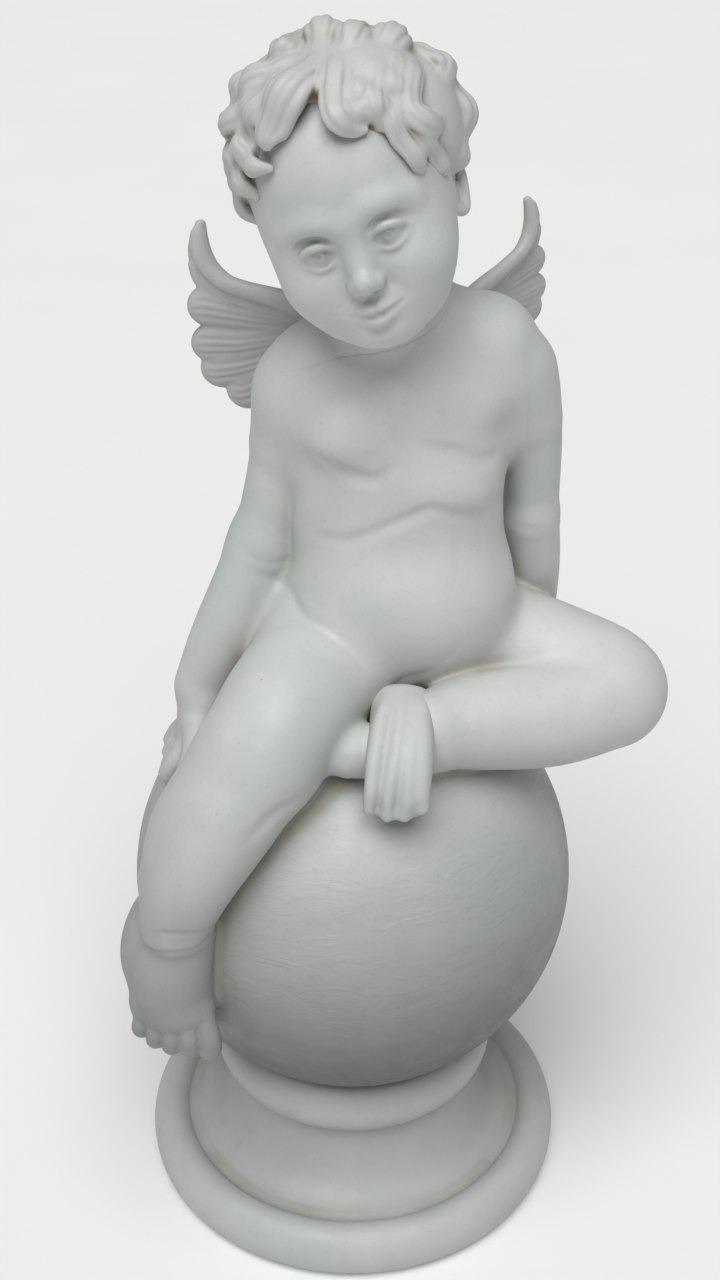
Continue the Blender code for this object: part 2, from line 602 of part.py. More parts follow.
def build_plinth(material):
    """The plinth: its profile turned about Z, closed by a flat underside."""
    shape = bmesh.new()
    ring = [shape.verts.new((radius, 0.0, height)) for radius, height in plinth_profile()]
    edges = [shape.edges.new(pair) for pair in zip(ring, ring[1:])]
    bmesh.ops.spin(shape, geom=ring + edges, cent=(0, 0, 0), axis=(0, 0, 1), angle=2 * math.pi,
                   steps=PLINTH_SEGMENTS, use_merge=True, use_duplicate=False)
    bmesh.ops.remove_doubles(shape, verts=shape.verts, dist=1e-6)
    underside = [edge for edge in shape.edges if edge.is_boundary]
    bmesh.ops.contextual_create(shape, geom=underside)
    bmesh.ops.recalc_face_normals(shape, faces=shape.faces)
    mesh = bpy.data.meshes.new("turned_plinth")
    shape.to_mesh(mesh)
    shape.free()
    mesh_object("turned_plinth", mesh, material)
    mesh.set_sharp_from_angle(angle=math.radians(40))


def plaster(name, colour, roughness):
    """Matt painted plaster."""
    material = bpy.data.materials.new(name)
    material.use_nodes = True
    shader = material.node_tree.nodes["Principled BSDF"]
    shader.inputs["Base Color"].default_value = (*colour, 1.0)
    shader.inputs["Roughness"].default_value = roughness
    shader.inputs["Metallic"].default_value = 0.0
    return material


def main():
    """Clear the scene and build both pieces."""
    for item in list(bpy.data.objects):
        bpy.data.objects.remove(item)
    build_figure(plaster("figure_plaster", (0.73, 0.74, 0.71), 0.55))
    build_plinth(plaster("plinth_plaster", (0.76, 0.77, 0.75), 0.55))


main()
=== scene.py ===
"""A winged child seated on a ball, cast in plaster, above a round turned plinth.

The figure is worked in clay: round masses and strands are joined, carved and grooved as distances on a
fine grid, in figure units of which one is a millimetre, and the surface is then taken off as a mesh.
The ball and the plinth follow a rule, so Geometry Nodes make them.
"""
import json
import logging
import math
from collections.abc import Iterable, Sequence
from dataclasses import dataclass
from enum import Enum
from typing import NamedTuple

import bpy
import numpy as np
from bpy.types import Material, Mesh, NodeSocket, Object
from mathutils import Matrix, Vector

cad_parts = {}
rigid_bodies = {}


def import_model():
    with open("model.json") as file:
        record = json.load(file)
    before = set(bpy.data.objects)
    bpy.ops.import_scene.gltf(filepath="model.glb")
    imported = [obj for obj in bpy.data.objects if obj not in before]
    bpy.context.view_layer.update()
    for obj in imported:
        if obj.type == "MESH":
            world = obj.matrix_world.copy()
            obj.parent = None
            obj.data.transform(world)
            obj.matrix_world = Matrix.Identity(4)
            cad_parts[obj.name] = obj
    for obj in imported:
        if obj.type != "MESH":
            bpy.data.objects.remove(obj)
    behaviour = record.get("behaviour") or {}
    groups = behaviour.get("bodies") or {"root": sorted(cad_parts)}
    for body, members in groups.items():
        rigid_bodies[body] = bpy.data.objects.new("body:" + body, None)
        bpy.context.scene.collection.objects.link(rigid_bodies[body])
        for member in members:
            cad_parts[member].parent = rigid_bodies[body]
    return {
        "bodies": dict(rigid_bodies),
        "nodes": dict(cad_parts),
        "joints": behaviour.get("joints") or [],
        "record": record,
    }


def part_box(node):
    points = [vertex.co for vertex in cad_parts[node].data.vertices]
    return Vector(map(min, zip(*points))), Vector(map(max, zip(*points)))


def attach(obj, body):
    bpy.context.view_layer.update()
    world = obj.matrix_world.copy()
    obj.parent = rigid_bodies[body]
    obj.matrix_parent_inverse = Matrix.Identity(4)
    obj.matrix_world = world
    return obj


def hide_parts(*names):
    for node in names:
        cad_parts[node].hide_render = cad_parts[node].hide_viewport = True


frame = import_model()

LOG = logging.getLogger("cherub")

Triple = tuple[float, float, float]

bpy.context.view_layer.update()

# Sizes shared with the solids, in metres
BALL_RADIUS = 0.111
SEAT_DIAMETER = 0.125
SEAT_CLEARANCE = 0.0004
PLINTH_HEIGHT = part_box("turned_plinth")[1][2]
PLINTH_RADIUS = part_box("turned_plinth")[1][0]
BALL_HEIGHT = PLINTH_HEIGHT + math.sqrt((BALL_RADIUS + SEAT_CLEARANCE) ** 2 - (SEAT_DIAMETER / 2) ** 2)

# The figure's own units
UNIT = 0.001
SEAT_LEVEL = 292.4
BALL_UNITS = BALL_RADIUS / UNIT
FAR = 30.0
THINNEST = 0.3
WIDEST_BOW = 80
CREVICE_REACH = 2.4
HOLLOW_REACH = 9.0
CORNERS = np.array([(i, j, k) for i in (0, 1) for j in (0, 1) for k in (0, 1)])
EDGES = [(0, 1), (2, 3), (4, 5), (6, 7), (0, 2), (1, 3), (4, 6), (5, 7), (0, 4), (1, 5), (2, 6), (3, 7)]
BOTH_SIDES = (-1, 1)
WHOLE_LOW = (-132, -128, 50)
WHOLE_HIGH = (164, 124, 612)


def rotation(yaw: float = 0.0, roll: float = 0.0, pitch: float = 0.0) -> np.ndarray:
    """Turn about Z, then Y, then X of the turned body.

    Args:
        yaw: Turn about Z in degrees.
        roll: Turn about Y in degrees.
        pitch: Turn about X in degrees.

    Returns:
        The matrix whose columns are the turned axes.
    """
    y, r, p = (math.radians(angle) for angle in (yaw, roll, pitch))
    about_z = np.array([[math.cos(y), -math.sin(y), 0], [math.sin(y), math.cos(y), 0], [0, 0, 1]])
    about_y = np.array([[math.cos(r), 0, math.sin(r)], [0, 1, 0], [-math.sin(r), 0, math.cos(r)]])
    about_x = np.array([[1, 0, 0], [0, math.cos(p), -math.sin(p)], [0, math.sin(p), math.cos(p)]])
    return about_z @ about_y @ about_x


def unit(vector: np.ndarray) -> np.ndarray:
    """The vector at length one."""
    return vector / max(float(np.linalg.norm(vector)), 1e-6)


def smooth_line(points: Sequence, values: Sequence, steps: int) -> tuple[np.ndarray, np.ndarray]:
    """A smooth curve through the points, with a value carried along it.

    Args:
        points: The points that the curve passes through.
        values: One number for each point.
        steps: How many short pieces each stretch has.

    Returns:
        The curve's points and the value at each of them.
    """
    row = np.column_stack([np.array(points, float), np.array(values, float)])
    row = np.vstack([2 * row[0] - row[1], row, 2 * row[-1] - row[-2]])
    line = []
    for i in range(1, len(row) - 2):
        before, here, after, later = row[i - 1:i + 3]
        for t in np.arange(steps) / steps:
            bend = (2 * before - 5 * here + 4 * after - later) * t ** 2
            turn = (3 * here - before - 3 * after + later) * t ** 3
            line.append(0.5 * (2 * here + (after - before) * t + bend + turn))
    curve = np.array(line + [row[-2]])
    return curve[:, :-1], np.maximum(curve[:, -1], THINNEST)


class Pose:
    """A local frame. Side -1 mirrors its X, and bow bends its X-Z plane."""

    def __init__(self, origin: Sequence = (0, 0, 0), yaw: float = 0.0, roll: float = 0.0,
                 pitch: float = 0.0, side: int = 1, bow: float = 0.0) -> None:
        """Set the frame's place, turn, side and bow."""
        self.origin = np.array(origin, float)
        self.matrix = rotation(yaw, roll, pitch)
        self.side = side
        self.bow = bow

    def mirrored(self, side: int) -> "Pose":
        """The same frame with its X towards the given side."""
        other = Pose(self.origin, side=side, bow=self.bow)
        other.matrix = self.matrix
        return other

    def local(self, x: np.ndarray, y: np.ndarray, z: np.ndarray) -> tuple:
        """Figure coordinates to local ones."""
        dx, dy, dz = x - self.origin[0], y - self.origin[1], z - self.origin[2]
        m = self.matrix.astype(np.float32)
        a, b, c = (m[0, i] * dx + m[1, i] * dy + m[2, i] * dz for i in range(3))
        return a * self.side, b - self.bow * a * a, c

    def world(self, points: Iterable) -> np.ndarray:
        """Local points to figure coordinates."""
        moved = np.array(points, float).reshape(-1, 3)
        moved[:, 0] *= self.side
        moved[:, 1] += self.bow * moved[:, 0] ** 2
        return moved @ self.matrix.T + self.origin


WORLD = Pose()


class Ellipsoid:
    """A round mass with three radii, turned in its frame."""

    def __init__(self, centre: Sequence, radii: Sequence, yaw: float = 0.0, roll: float = 0.0,
                 pitch: float = 0.0) -> None:
        """Set the mass's place, radii and turn."""
        self.centre = np.array(centre, float)
        self.radii = np.array(radii, float)
        self.matrix = rotation(yaw, roll, pitch)

    def pieces(self) -> list["Ellipsoid"]:
        """The mass is measured whole."""
        return [self]

    def corners(self) -> np.ndarray:
        """The corners of the box around it."""
        return ((CORNERS * 2 - 1) * self.radii) @ self.matrix.T + self.centre

    def distance(self, x: np.ndarray, y: np.ndarray, z: np.ndarray) -> np.ndarray:
        """About how far each point is outside."""
        x, y, z = x - self.centre[0], y - self.centre[1], z - self.centre[2]
        m = self.matrix.astype(np.float32)
        x, y, z = (m[0, i] * x + m[1, i] * y + m[2, i] * z for i in range(3))
        rx, ry, rz = self.radii
        share = np.sqrt((x / rx) ** 2 + (y / ry) ** 2 + (z / rz) ** 2)
        slope = np.sqrt((x / rx ** 2) ** 2 + (y / ry ** 2) ** 2 + (z / rz ** 2) ** 2)
        return share * (share - 1.0) / np.maximum(slope, 1e-6)


class Strand:
    """A round body along a smooth line, with a radius at each point. Squash flattens it."""

    def __init__(self, points: Sequence, radii: Sequence, steps: int = 9,
                 squash: Triple = (1, 1, 1)) -> None:
        """Draw the line and spread the radii along it."""
        self.squash = np.array(squash, float)
        self.points, self.radii = smooth_line(points, radii, steps)

    def pieces(self) -> list["Stretch"]:
        """The straight stretches that it is measured by."""
        ends = zip(self.points, self.points[1:], self.radii, self.radii[1:])
        return [Stretch(*end, self.squash) for end in ends]


class Stretch:
    """One straight stretch of a strand."""

    def __init__(self, start: np.ndarray, stop: np.ndarray, first: float, last: float,
                 squash: np.ndarray) -> None:
        """Keep the two ends, their radii and the flattening."""
        self.ends = np.array([start, stop])
        self.reach = max(first, last) * squash
        self.start, self.along = start / squash, (stop - start) / squash
        self.first, self.growth = first, last - first
        self.squash = squash

    def corners(self) -> np.ndarray:
        """The corners of the box around it."""
        low, high = self.ends.min(0) - self.reach, self.ends.max(0) + self.reach
        return low + CORNERS * (high - low)

    def distance(self, x: np.ndarray, y: np.ndarray, z: np.ndarray) -> np.ndarray:
        """About how far each point is outside."""
        sx, sy, sz = self.squash
        px, py, pz = x / sx - self.start[0], y / sy - self.start[1], z / sz - self.start[2]
        ax, ay, az = self.along
        length = max(float(self.along @ self.along), 1e-9)
        share = np.clip((px * ax + py * ay + pz * az) / length, 0, 1)
        gap = np.sqrt((px - share * ax) ** 2 + (py - share * ay) ** 2 + (pz - share * az) ** 2)
        return (gap - self.first - share * self.growth) * self.squash.min()


def blended(held: np.ndarray, gap: np.ndarray, blend: float) -> np.ndarray:
    """The nearer of two distances, with a fillet as wide as the blend where they meet."""
    near = np.maximum(blend - np.abs(held - gap), 0.0) / blend
    return np.minimum(held, gap) - near * near * blend / 4


def block(window: tuple, value: float) -> np.ndarray:
    """One value for every grid point of a window."""
    return np.full([part.stop - part.start for part in window], value, np.float32)


def place_in(window: tuple, whole: tuple) -> tuple:
    """Where a window lies in a larger one."""
    return tuple(slice(a.start - b.start, a.stop - b.start) for a, b in zip(window, whole))


class Clay:
    """A block of space that keeps each grid point's distance to the modelled surface."""

    def __init__(self, low: Sequence, high: Sequence, step: float) -> None:
        """Lay the grid between two corners."""
        self.step = step
        self.low = np.array(low, float)
        self.shape = tuple(np.ceil((np.array(high, float) - self.low) / step).astype(int) + 1)
        self.axes = [(start + step * np.arange(count)).astype(np.float32)
                     for start, count in zip(self.low, self.shape)]
        self.field = np.full(self.shape, FAR, np.float32)

    def window(self, low: np.ndarray, high: np.ndarray) -> tuple | None:
        """The part of the grid between two corners, or None where they miss it."""
        top = np.array(self.shape)
        first = np.clip(np.floor((low - self.low) / self.step).astype(int), 0, top)
        last = np.clip(np.ceil((high - self.low) / self.step).astype(int) + 1, 0, top)
        if (last <= first).any():
            return None
        return tuple(slice(a, b) for a, b in zip(first, last))

    def coordinates(self, window: tuple) -> tuple:
        """X, Y and Z of the grid points in a window."""
        x, y, z = (axis[part] for axis, part in zip(self.axes, window))
        return x[:, None, None], y[None, :, None], z[None, None, :]

    def measured(self, shape: Ellipsoid | Strand, pose: Pose, blend: float) -> tuple | None:
        """Measure a shape on the part of the grid around it.

        Args:
            shape: The shape.
            pose: The frame that it is given in.
            blend: How far round it the grid is needed.

        Returns:
            The window and the distances in it, or None where the shape misses the grid.
        """
        pieces = shape.pieces()
        pad = blend + 2 * self.step + abs(pose.bow) * WIDEST_BOW ** 2
        boxes = [pose.world(piece.corners()) for piece in pieces]
        whole = self.window(np.min([box.min(0) for box in boxes], 0) - pad,
                            np.max([box.max(0) for box in boxes], 0) + pad)
        if whole is None:
            return None
        gap = block(whole, FAR)
        for piece, box in zip(pieces, boxes):
            window = self.window(box.min(0) - pad, box.max(0) + pad)
            if window is None:
                continue
            inner = place_in(window, whole)
            found = piece.distance(*pose.local(*self.coordinates(window)))
            gap[inner] = np.minimum(gap[inner], found)
        return whole, gap

    def add(self, shape: Ellipsoid | Strand, blend: float, pose: Pose = WORLD) -> None:
        """Join a shape to the clay with a fillet as wide as the blend."""
        found = self.measured(shape, pose, blend)
        if found is None:
            return
        window, gap = found
        self.field[window] = blended(self.field[window], gap, blend)

    def add_bundle(self, strands: Sequence[Strand], inner: float, blend: float,
                   pose: Pose = WORLD) -> None:
        """Join strands to each other softly, and the bundle to the clay with a fillet of its own.

        Args:
            strands: The strands.
            inner: The blend between them.
            blend: The blend between the bundle and the clay.
            pose: The frame that they are given in.
        """
        measures = [self.measured(strand, pose, inner + blend) for strand in strands]
        found = [part for part in measures if part]
        if not found:
            return
        whole = tuple(slice(min(w[i].start for w, _ in found), max(w[i].stop for w, _ in found))
                      for i in range(3))
        gap = block(whole, FAR)
        for window, measure in found:
            place = place_in(window, whole)
            gap[place] = blended(gap[place], measure, inner)
        self.field[whole] = blended(self.field[whole], gap, blend)

    def carve(self, shape: Ellipsoid | Strand, blend: float, pose: Pose = WORLD) -> None:
        """Take a shape out of the clay, with a softened edge."""
        found = self.measured(shape, pose, blend)
        if found is None:
            return
        window, gap = found
        self.field[window] = -blended(-self.field[window], gap, blend)

    def groove(self, points: Sequence, width: float, depth: float, pose: Pose = WORLD) -> None:
        """Press a soft groove along a line that is first moved onto the surface.

        Args:
            points: The line.
            width: The groove's half width.
            depth: Its depth, or less than zero for a ridge.
            pose: The frame that the line is given in.
        """
        line, _ = smooth_line(points, np.ones(len(points)), 8)
        line = self.settled(pose.world(line), 10)
        taper = np.sqrt(np.sin(np.pi * (np.arange(len(line)) + 0.5) / len(line)))
        whole = self.window(line.min(0) - 3 * width, line.max(0) + 3 * width)
        if whole is None:
            return
        push = block(whole, 0.0)
        pad = 2.8 * width
        for start, stop, strength in zip(line, line[1:], (taper[:-1] + taper[1:]) / 2):
            window = self.window(np.minimum(start, stop) - pad, np.maximum(start, stop) + pad)
            if window is None:
                continue
            inner = place_in(window, whole)
            away = Stretch(start, stop, 0.0, 0.0, np.ones(3)).distance(*self.coordinates(window))
            push[inner] = np.maximum(push[inner], strength * np.exp(-(away / width) ** 2))
        self.field[whole] += depth * push

    def keep_near(self, other: np.ndarray, reach: float) -> None:
        """Cut off what is further than the reach from another field."""
        np.maximum(self.field, other - reach, out=self.field)

    def beyond(self, point: Sequence, axis: np.ndarray) -> np.ndarray:
        """How far along an axis each grid point lies from a point."""
        x, y, z = self.coordinates(tuple(slice(0, n) for n in self.shape))
        return (x - point[0]) * axis[0] + (y - point[1]) * axis[1] + (z - point[2]) * axis[2]

    def cut(self, point: Sequence, normal: Sequence) -> None:
        """Cut off what lies beyond a plane on the side that its normal points to."""
        np.maximum(self.field, self.beyond(point, unit(np.array(normal, float))), out=self.field)

    def sampled(self, points: np.ndarray) -> np.ndarray:
        """The distance at any points, read between the grid points."""
        place = np.clip((points - self.low) / self.step, 0, np.array(self.shape) - 1.001)
        cell = place.astype(int)
        part = place - cell
        total = np.zeros(len(points))
        for corner in CORNERS:
            share = np.prod(np.where(corner, part, 1 - part), axis=1)
            i, j, k = (cell + corner).T
            total += share * self.field[i, j, k]
        return total

    def slope(self, points: np.ndarray) -> np.ndarray:
        """The outward direction at any points."""
        steps = np.eye(3) * self.step
        rise = np.stack([self.sampled(points + step) - self.sampled(points - step) for step in steps], 1)
        return rise / np.maximum(np.linalg.norm(rise, axis=1, keepdims=True), 1e-9)

    def settled(self, points: np.ndarray, rounds: int = 3) -> np.ndarray:
        """The points moved onto the surface."""
        moved = np.array(points, float)
        for _ in range(rounds):
            gap = np.clip(self.sampled(moved), -6, 6)
            moved -= self.slope(moved) * gap[:, None] * 0.9
        return moved

    def surface(self) -> tuple[np.ndarray, np.ndarray]:
        """The points and four-sided faces where the distance passes through zero."""
        inside = self.field < 0
        filled = np.zeros([n - 1 for n in self.shape], np.uint8)
        for corner in CORNERS:
            filled += inside[tuple(slice(corner[a], self.shape[a] - 1 + corner[a]) for a in range(3))]
        active = (filled > 0) & (filled < 8)
        cells = np.argwhere(active)
        number = np.full(active.shape, -1, np.int32)
        number[active] = np.arange(len(cells), dtype=np.int32)
        values = np.stack([self.field[tuple((cells + corner).T)] for corner in CORNERS], 1)
        total = np.zeros((len(cells), 3))
        hits = np.zeros((len(cells), 1))
        for a, b in EDGES:
            crossed = ((values[:, a] < 0) != (values[:, b] < 0))[:, None]
            drop = (values[:, a] - values[:, b])[:, None]
            share = values[:, a][:, None] / np.where(crossed, drop, 1)
            total += crossed * (CORNERS[a] + share * (CORNERS[b] - CORNERS[a]))
            hits += crossed
        points = (cells + total / hits) * self.step + self.low
        return points, np.vstack([self.crossings(axis, inside, number) for axis in range(3)])

    def crossings(self, axis: int, inside: np.ndarray, number: np.ndarray) -> np.ndarray:
        """The faces across the grid lines that run along one axis."""
        first, second = [(1, 2), (2, 0), (0, 1)][axis]
        low, high = [slice(1, -1)] * 3, [slice(1, -1)] * 3
        low[axis], high[axis] = slice(0, -1), slice(1, None)
        below, above = inside[tuple(low)], inside[tuple(high)]
        lines = np.argwhere(below != above)
        outward = below[tuple(lines.T)]
        lines[:, [first, second]] += 1
        ring = []
        for back_first, back_second in ((1, 1), (0, 1), (0, 0), (1, 0)):
            cell = lines.copy()
            cell[:, first] -= back_first
            cell[:, second] -= back_second
            ring.append(number[tuple(cell.T)])
        faces = np.stack(ring, 1)
        faces[~outward] = faces[~outward][:, ::-1]
        return faces


def placed(name: str, data: bpy.types.ID) -> Object:
    """A new object in the scene that shows the data."""
    made = bpy.data.objects.new(name, data)
    bpy.context.scene.collection.objects.link(made)
    return made


def points_of(mesh: Mesh) -> np.ndarray:
    """A mesh's points, one in each row."""
    points = np.empty(3 * len(mesh.vertices))
    mesh.vertices.foreach_get("co", points)
    return points.reshape(-1, 3)


class Build:
    """Turns points and faces into finished objects in the shared frame, in metres."""

    PLACE = np.array((0.0, 0.0, BALL_HEIGHT + BALL_RADIUS - SEAT_LEVEL * UNIT))

    @staticmethod
    def mesh(name: str, points: np.ndarray, faces: np.ndarray) -> Mesh:
        """A mesh from points and faces.

        Args:
            name: The mesh's name.
            points: The points.
            faces: The faces as rows of point numbers.

        Returns:
            The new mesh.
        """
        made = bpy.data.meshes.new(name)
        made.from_pydata(points.tolist(), [], faces.tolist())
        return made

    @staticmethod
    def finished(mesh: Mesh, name: str) -> Object:
        """A smooth-shaded object at the origin that shows a mesh."""
        mesh.name = name
        mesh.shade_smooth()
        return placed(name, mesh)

    @staticmethod
    def evaluated(draft: Object) -> Mesh:
        """The draft object's mesh with its modifiers in it. The draft is removed."""
        view = draft.evaluated_get(bpy.context.evaluated_depsgraph_get())
        made = bpy.data.meshes.new_from_object(view)
        bpy.data.objects.remove(draft)
        return made

    @classmethod
    def from_clay(cls, name: str, clay: Clay, triangles: int, whole: Clay) -> Object:
        """Take a piece off its clay.

        Args:
            name: The piece's name.
            clay: The piece's own clay, in figure units.
            triangles: About how many triangles it may have.
            whole: The whole figure's clay, for the hollows, which the finish greys as dust and painted
                shade.

        Returns:
            The finished object, with its crevices and hollows as attributes.
        """
        mesh = cls.mesh(name, *clay.surface())
        draft = placed("draft", mesh)
        if 2 * len(mesh.polygons) > triangles:
            thin = draft.modifiers.new("thin", "DECIMATE")
            thin.ratio = triangles / (2 * len(mesh.polygons))
            thin.use_collapse_triangulate = True
        mesh = cls.evaluated(draft)
        points = clay.settled(points_of(mesh))
        cls.shade(mesh, points, clay.slope(points), clay, whole)
        mesh.vertices.foreach_set("co", (points * UNIT + cls.PLACE).ravel())
        return cls.finished(mesh, name)

    @classmethod
    def shade(cls, mesh: Mesh, points: np.ndarray, outward: np.ndarray, near: Clay, whole: Clay) -> None:
        """Keep how closely clay faces each point of a mesh, within a short reach and a long one.

        Args:
            mesh: The mesh.
            points: Its points, in figure units.
            outward: The outward direction at each.
            near: The clay that makes crevices.
            whole: The clay that makes hollows.
        """
        cls.attribute(mesh, "crevice", shade_within(near, points, outward, CREVICE_REACH))
        # The hollow mark greys the colour as dust and painted shade
        cls.attribute(mesh, "hollow", shade_within(whole, points, outward, HOLLOW_REACH))

    @staticmethod
    def attribute(mesh: Mesh, name: str, values: np.ndarray) -> None:
        """Keep one number for each point of a mesh."""
        held = mesh.attributes.new(name, "FLOAT", "POINT")
        held.data.foreach_set("value", np.asarray(values, np.float32))


def shade_within(clay: Clay, points: np.ndarray, outward: np.ndarray, reach: float) -> np.ndarray:
    """How closely other clay faces each point within a reach, from 0 in the open to 1.

    Args:
        clay: The clay around the points.
        points: Points on its surface.
        outward: The outward direction at each.
        reach: How far out it looks.

    Returns:
        One number for each point.
    """
    gap = clay.sampled(points + outward * reach)
    return np.clip(1.0 - gap / reach, 0.0, 1.0)


# The chest, the belly and the head each lean and turn on their own
CHEST = Pose((24, 16, 412), yaw=14, roll=-11)
BELLY = Pose((25, 4, 340), yaw=8, roll=3)
HEAD = Pose((2, -4, 526), yaw=-5, roll=-20, pitch=4)


class Modelled:
    """A piece that is modelled in a block of clay of its own."""

    NAME = ""

    def model(self, clay: Clay) -> None:
        """Every part of the piece, in the order in which the parts are joined."""
        raise NotImplementedError

    def take(self, whole: Clay) -> Object:
        """The piece as a mesh.

        Args:
            whole: The whole figure's clay.

        Returns:
            The piece.
        """
        clay = Clay(self.low, self.high, self.step)
        self.model(clay)
        return Build.from_clay(self.NAME, clay, self.triangles, whole)


@dataclass
class Figure(Modelled):
    """The seated child's body, from the toes to the neck."""

    step: float = 1.0
    triangles: int = 180000
    low: Triple = (-130, -126, 126)
    high: Triple = (160, 112, 505)
    neck_point: Triple = (17, 13, 474)
    neck_axis: Triple = (-0.33, -0.25, 0.91)
    ball_gap: float = 0.4
    ball_fillet: float = 5
    ball_reach: float = 4.5

    NAME = "cherub_body"
    # Each toe of the hanging foot, from the big one: where it leaves the foot, its radius and its
    # tip's height
    TOES = ((-67.4, -99.5, 168, 5.4, 150.4), (-76.8, -101, 167, 4.9, 153.0),
            (-85.2, -100, 166, 4.7, 153.2), (-93.0, -97, 165, 4.6, 154.2),
            (-100.2, -92, 165, 4.5, 156.4))

    def model(self, clay: Clay) -> None:
        """Every part of the body, in the order in which the parts are joined."""
        for part in (self.seat, self.legs, self.right_foot, self.left_foot, self.trunk, self.arms,
                     self.hands, self.neck, self.creases):
            part(clay)

    def seat(self, clay: Clay) -> None:
        """Hips and seat, one plain mass behind."""
        clay.add(Ellipsoid((25, 20, 312), (55, 42, 32)), 3)
        clay.add(Ellipsoid((-14, 12, 326), (30, 30, 30)), 12)
        clay.add(Ellipsoid((25, 33, 306), (62, 37, 31)), 12)

    def legs(self, clay: Clay) -> None:
        """The right leg hangs over the ball, and the left one is folded across it."""
        self.limbs(clay, (
            (14, (36, 34, 32, 29), (0, 14, 306), (-16, -16, 307), (-30, -44, 303), (-41, -62, 294)),
            (14, (33, 30, 27.5, 26), (50, 22, 306), (84, 12, 302), (116, -2, 297), (124, -8, 295)),
            (7, (27.5, 24, 20.5, 17), (-43, -63, 290), (-59, -81, 268), (-73, -91, 245),
             (-81, -92, 222)),
            (9, (18, 20, 16), (-58, -64, 284), (-72, -74, 262), (-82, -80, 238)),
            (5, (26, 25, 23, 18), (122, -12, 293), (94, -24, 290), (64, -32, 291), (40, -42, 293))))

    @staticmethod
    def limbs(clay: Clay, rows: Sequence) -> None:
        """Join strands to the clay, each given by its blend, its radii and its points."""
        for blend, radii, *points in rows:
            clay.add(Strand(points, radii), blend)

    @staticmethod
    def furrows(clay: Clay, rows: Sequence, pose: Pose = WORLD) -> None:
        """Press grooves into the clay, each given by its half width, its depth and its points."""
        for width, depth, *points in rows:
            clay.groove(points, width, depth, pose)

    def right_foot(self, clay: Clay) -> None:
        """The hanging foot with its five toes and their nails."""
        clay.add(Ellipsoid((-91, -73, 200), (16, 19, 22)), 8)
        clay.add(Ellipsoid((-81, -94, 217), (15.5, 15.5, 9)), 3)
        clay.add(Strand([(-80, -90, 212), (-84, -92, 196), (-85.5, -92, 182), (-84.5, -92, 172)],
                        [13.2, 15.4, 16, 13.6], squash=(1.22, 1, 1)), 4)
        clay.add(Strand([(-73, -97, 170.5), (-84, -97, 169.5), (-98, -89, 169)], [7.5, 9, 8]), 7)
        clay.add(Ellipsoid((-96, -80, 191), (14, 16, 25)), 4)
        clay.add(Strand([(-97, -87, 160), (-87, -91, 153), (-77, -94, 150)], [8, 8, 7]), 6)
        for x, y, z, radius, tip in self.TOES:
            line = [(0.8 * x - 16.8, y + 1, z + 3), (x - 0.2, y - 2.5, (z + tip) / 2),
                    (x - 0.6, y - 1, tip)]
            clay.add(Strand(line, [radius * 0.95, radius * 0.98, radius * 1.08]), 1.1)
        for x, y, z, radius, tip in self.TOES:
            wide = radius * 0.6
            front = y - radius - 1.5
            nail = [(x - wide, front, tip - 2.2), (x - wide - 0.3, front, tip + 1),
                    (x - 0.6, front, tip + 3.2), (x + wide - 0.6, front, tip + 1),
                    (x + wide - 1, front, tip - 2.2)]
            clay.groove(nail, 0.6, 0.5)
        self.furrows(clay, (
            (1.7, 1.8, (-86, -109, 227), (-82, -110, 227.5), (-76, -110, 227.5), (-69, -106, 226),
             (-62, -98, 226)),
            (1.7, 2.2, (-99, -92, 211), (-91, -104, 213.5), (-84, -110, 215), (-76, -111, 215),
             (-69, -106, 215), (-63, -97, 219))))

    def left_foot(self, clay: Clay) -> None:
        """The tucked foot, mostly under the cloth."""
        clay.add(Ellipsoid((34, -46, 292), (17, 14, 16)), 8)
        clay.add(Strand([(34, -48, 293), (14, -57, 292), (-2, -60, 291)], [15, 13, 11]), 6)

    def trunk(self, clay: Clay) -> None:
        """Belly and chest on a column that is wider than it is deep."""
        clay.add(Ellipsoid((0, 5, 4), (50, 37, 44)), 9, BELLY)
        clay.add(Ellipsoid((-1, -7, -2), (44, 30, 34)), 18, BELLY)
        spine = [(25, 16, 316), (22, 12, 346), (20, 12, 380), (21, 16, 414), (23, 18, 440)]
        clay.add(Strand(spine, [37, 36, 35, 34, 30], squash=(1.42, 1, 1)), 6)
        clay.add(Ellipsoid((0, 2, -2), (47, 33, 44)), 8, CHEST)
        clay.add(Ellipsoid((0, 4, 24), (52, 27, 26)), 12, CHEST)
        for side in BOTH_SIDES:
            frame = CHEST.mirrored(side)
            clay.add(Ellipsoid((22, -13, 20), (24, 16.5, 17), yaw=-14), 8, frame)
            clay.add(Strand([(8, 8, 54), (26, 8, 47), (42, 8, 38)], [19, 19, 18]), 14, frame)
            clay.add(Ellipsoid((24, 24, 14), (18, 11, 24)), 12, frame)
        clay.add(Ellipsoid((37, -2, 402), (24, 18, 12), roll=8), 12)

    def arms(self, clay: Clay) -> None:
        """Both arms hang beside the trunk and prop on the ball."""
        self.limbs(clay, (
            (14, (19, 19, 16), (-18, 18, 442), (-25, 18, 428), (-31, 18, 412)),
            (4, (17, 15.4, 15, 15), (-26, 18, 432), (-32, 19, 404), (-38, 18, 376), (-43, 18, 358)),
            (8, (15.2, 16.6, 16, 13.8), (-43, 16, 360), (-52, 11, 336), (-63, 6, 312), (-73, 2, 290)),
            (14, (19, 19, 16), (64, 24, 456), (73, 26, 440), (79, 28, 420)),
            (4, (16.5, 14.6, 14, 14), (75, 26, 444), (82, 29, 414), (84, 33, 386), (84, 35, 366)),
            (4, (14.8, 15.2, 13.6, 11.4), (84, 34, 366), (86, 39, 342), (88, 45, 316), (88, 50, 292))))

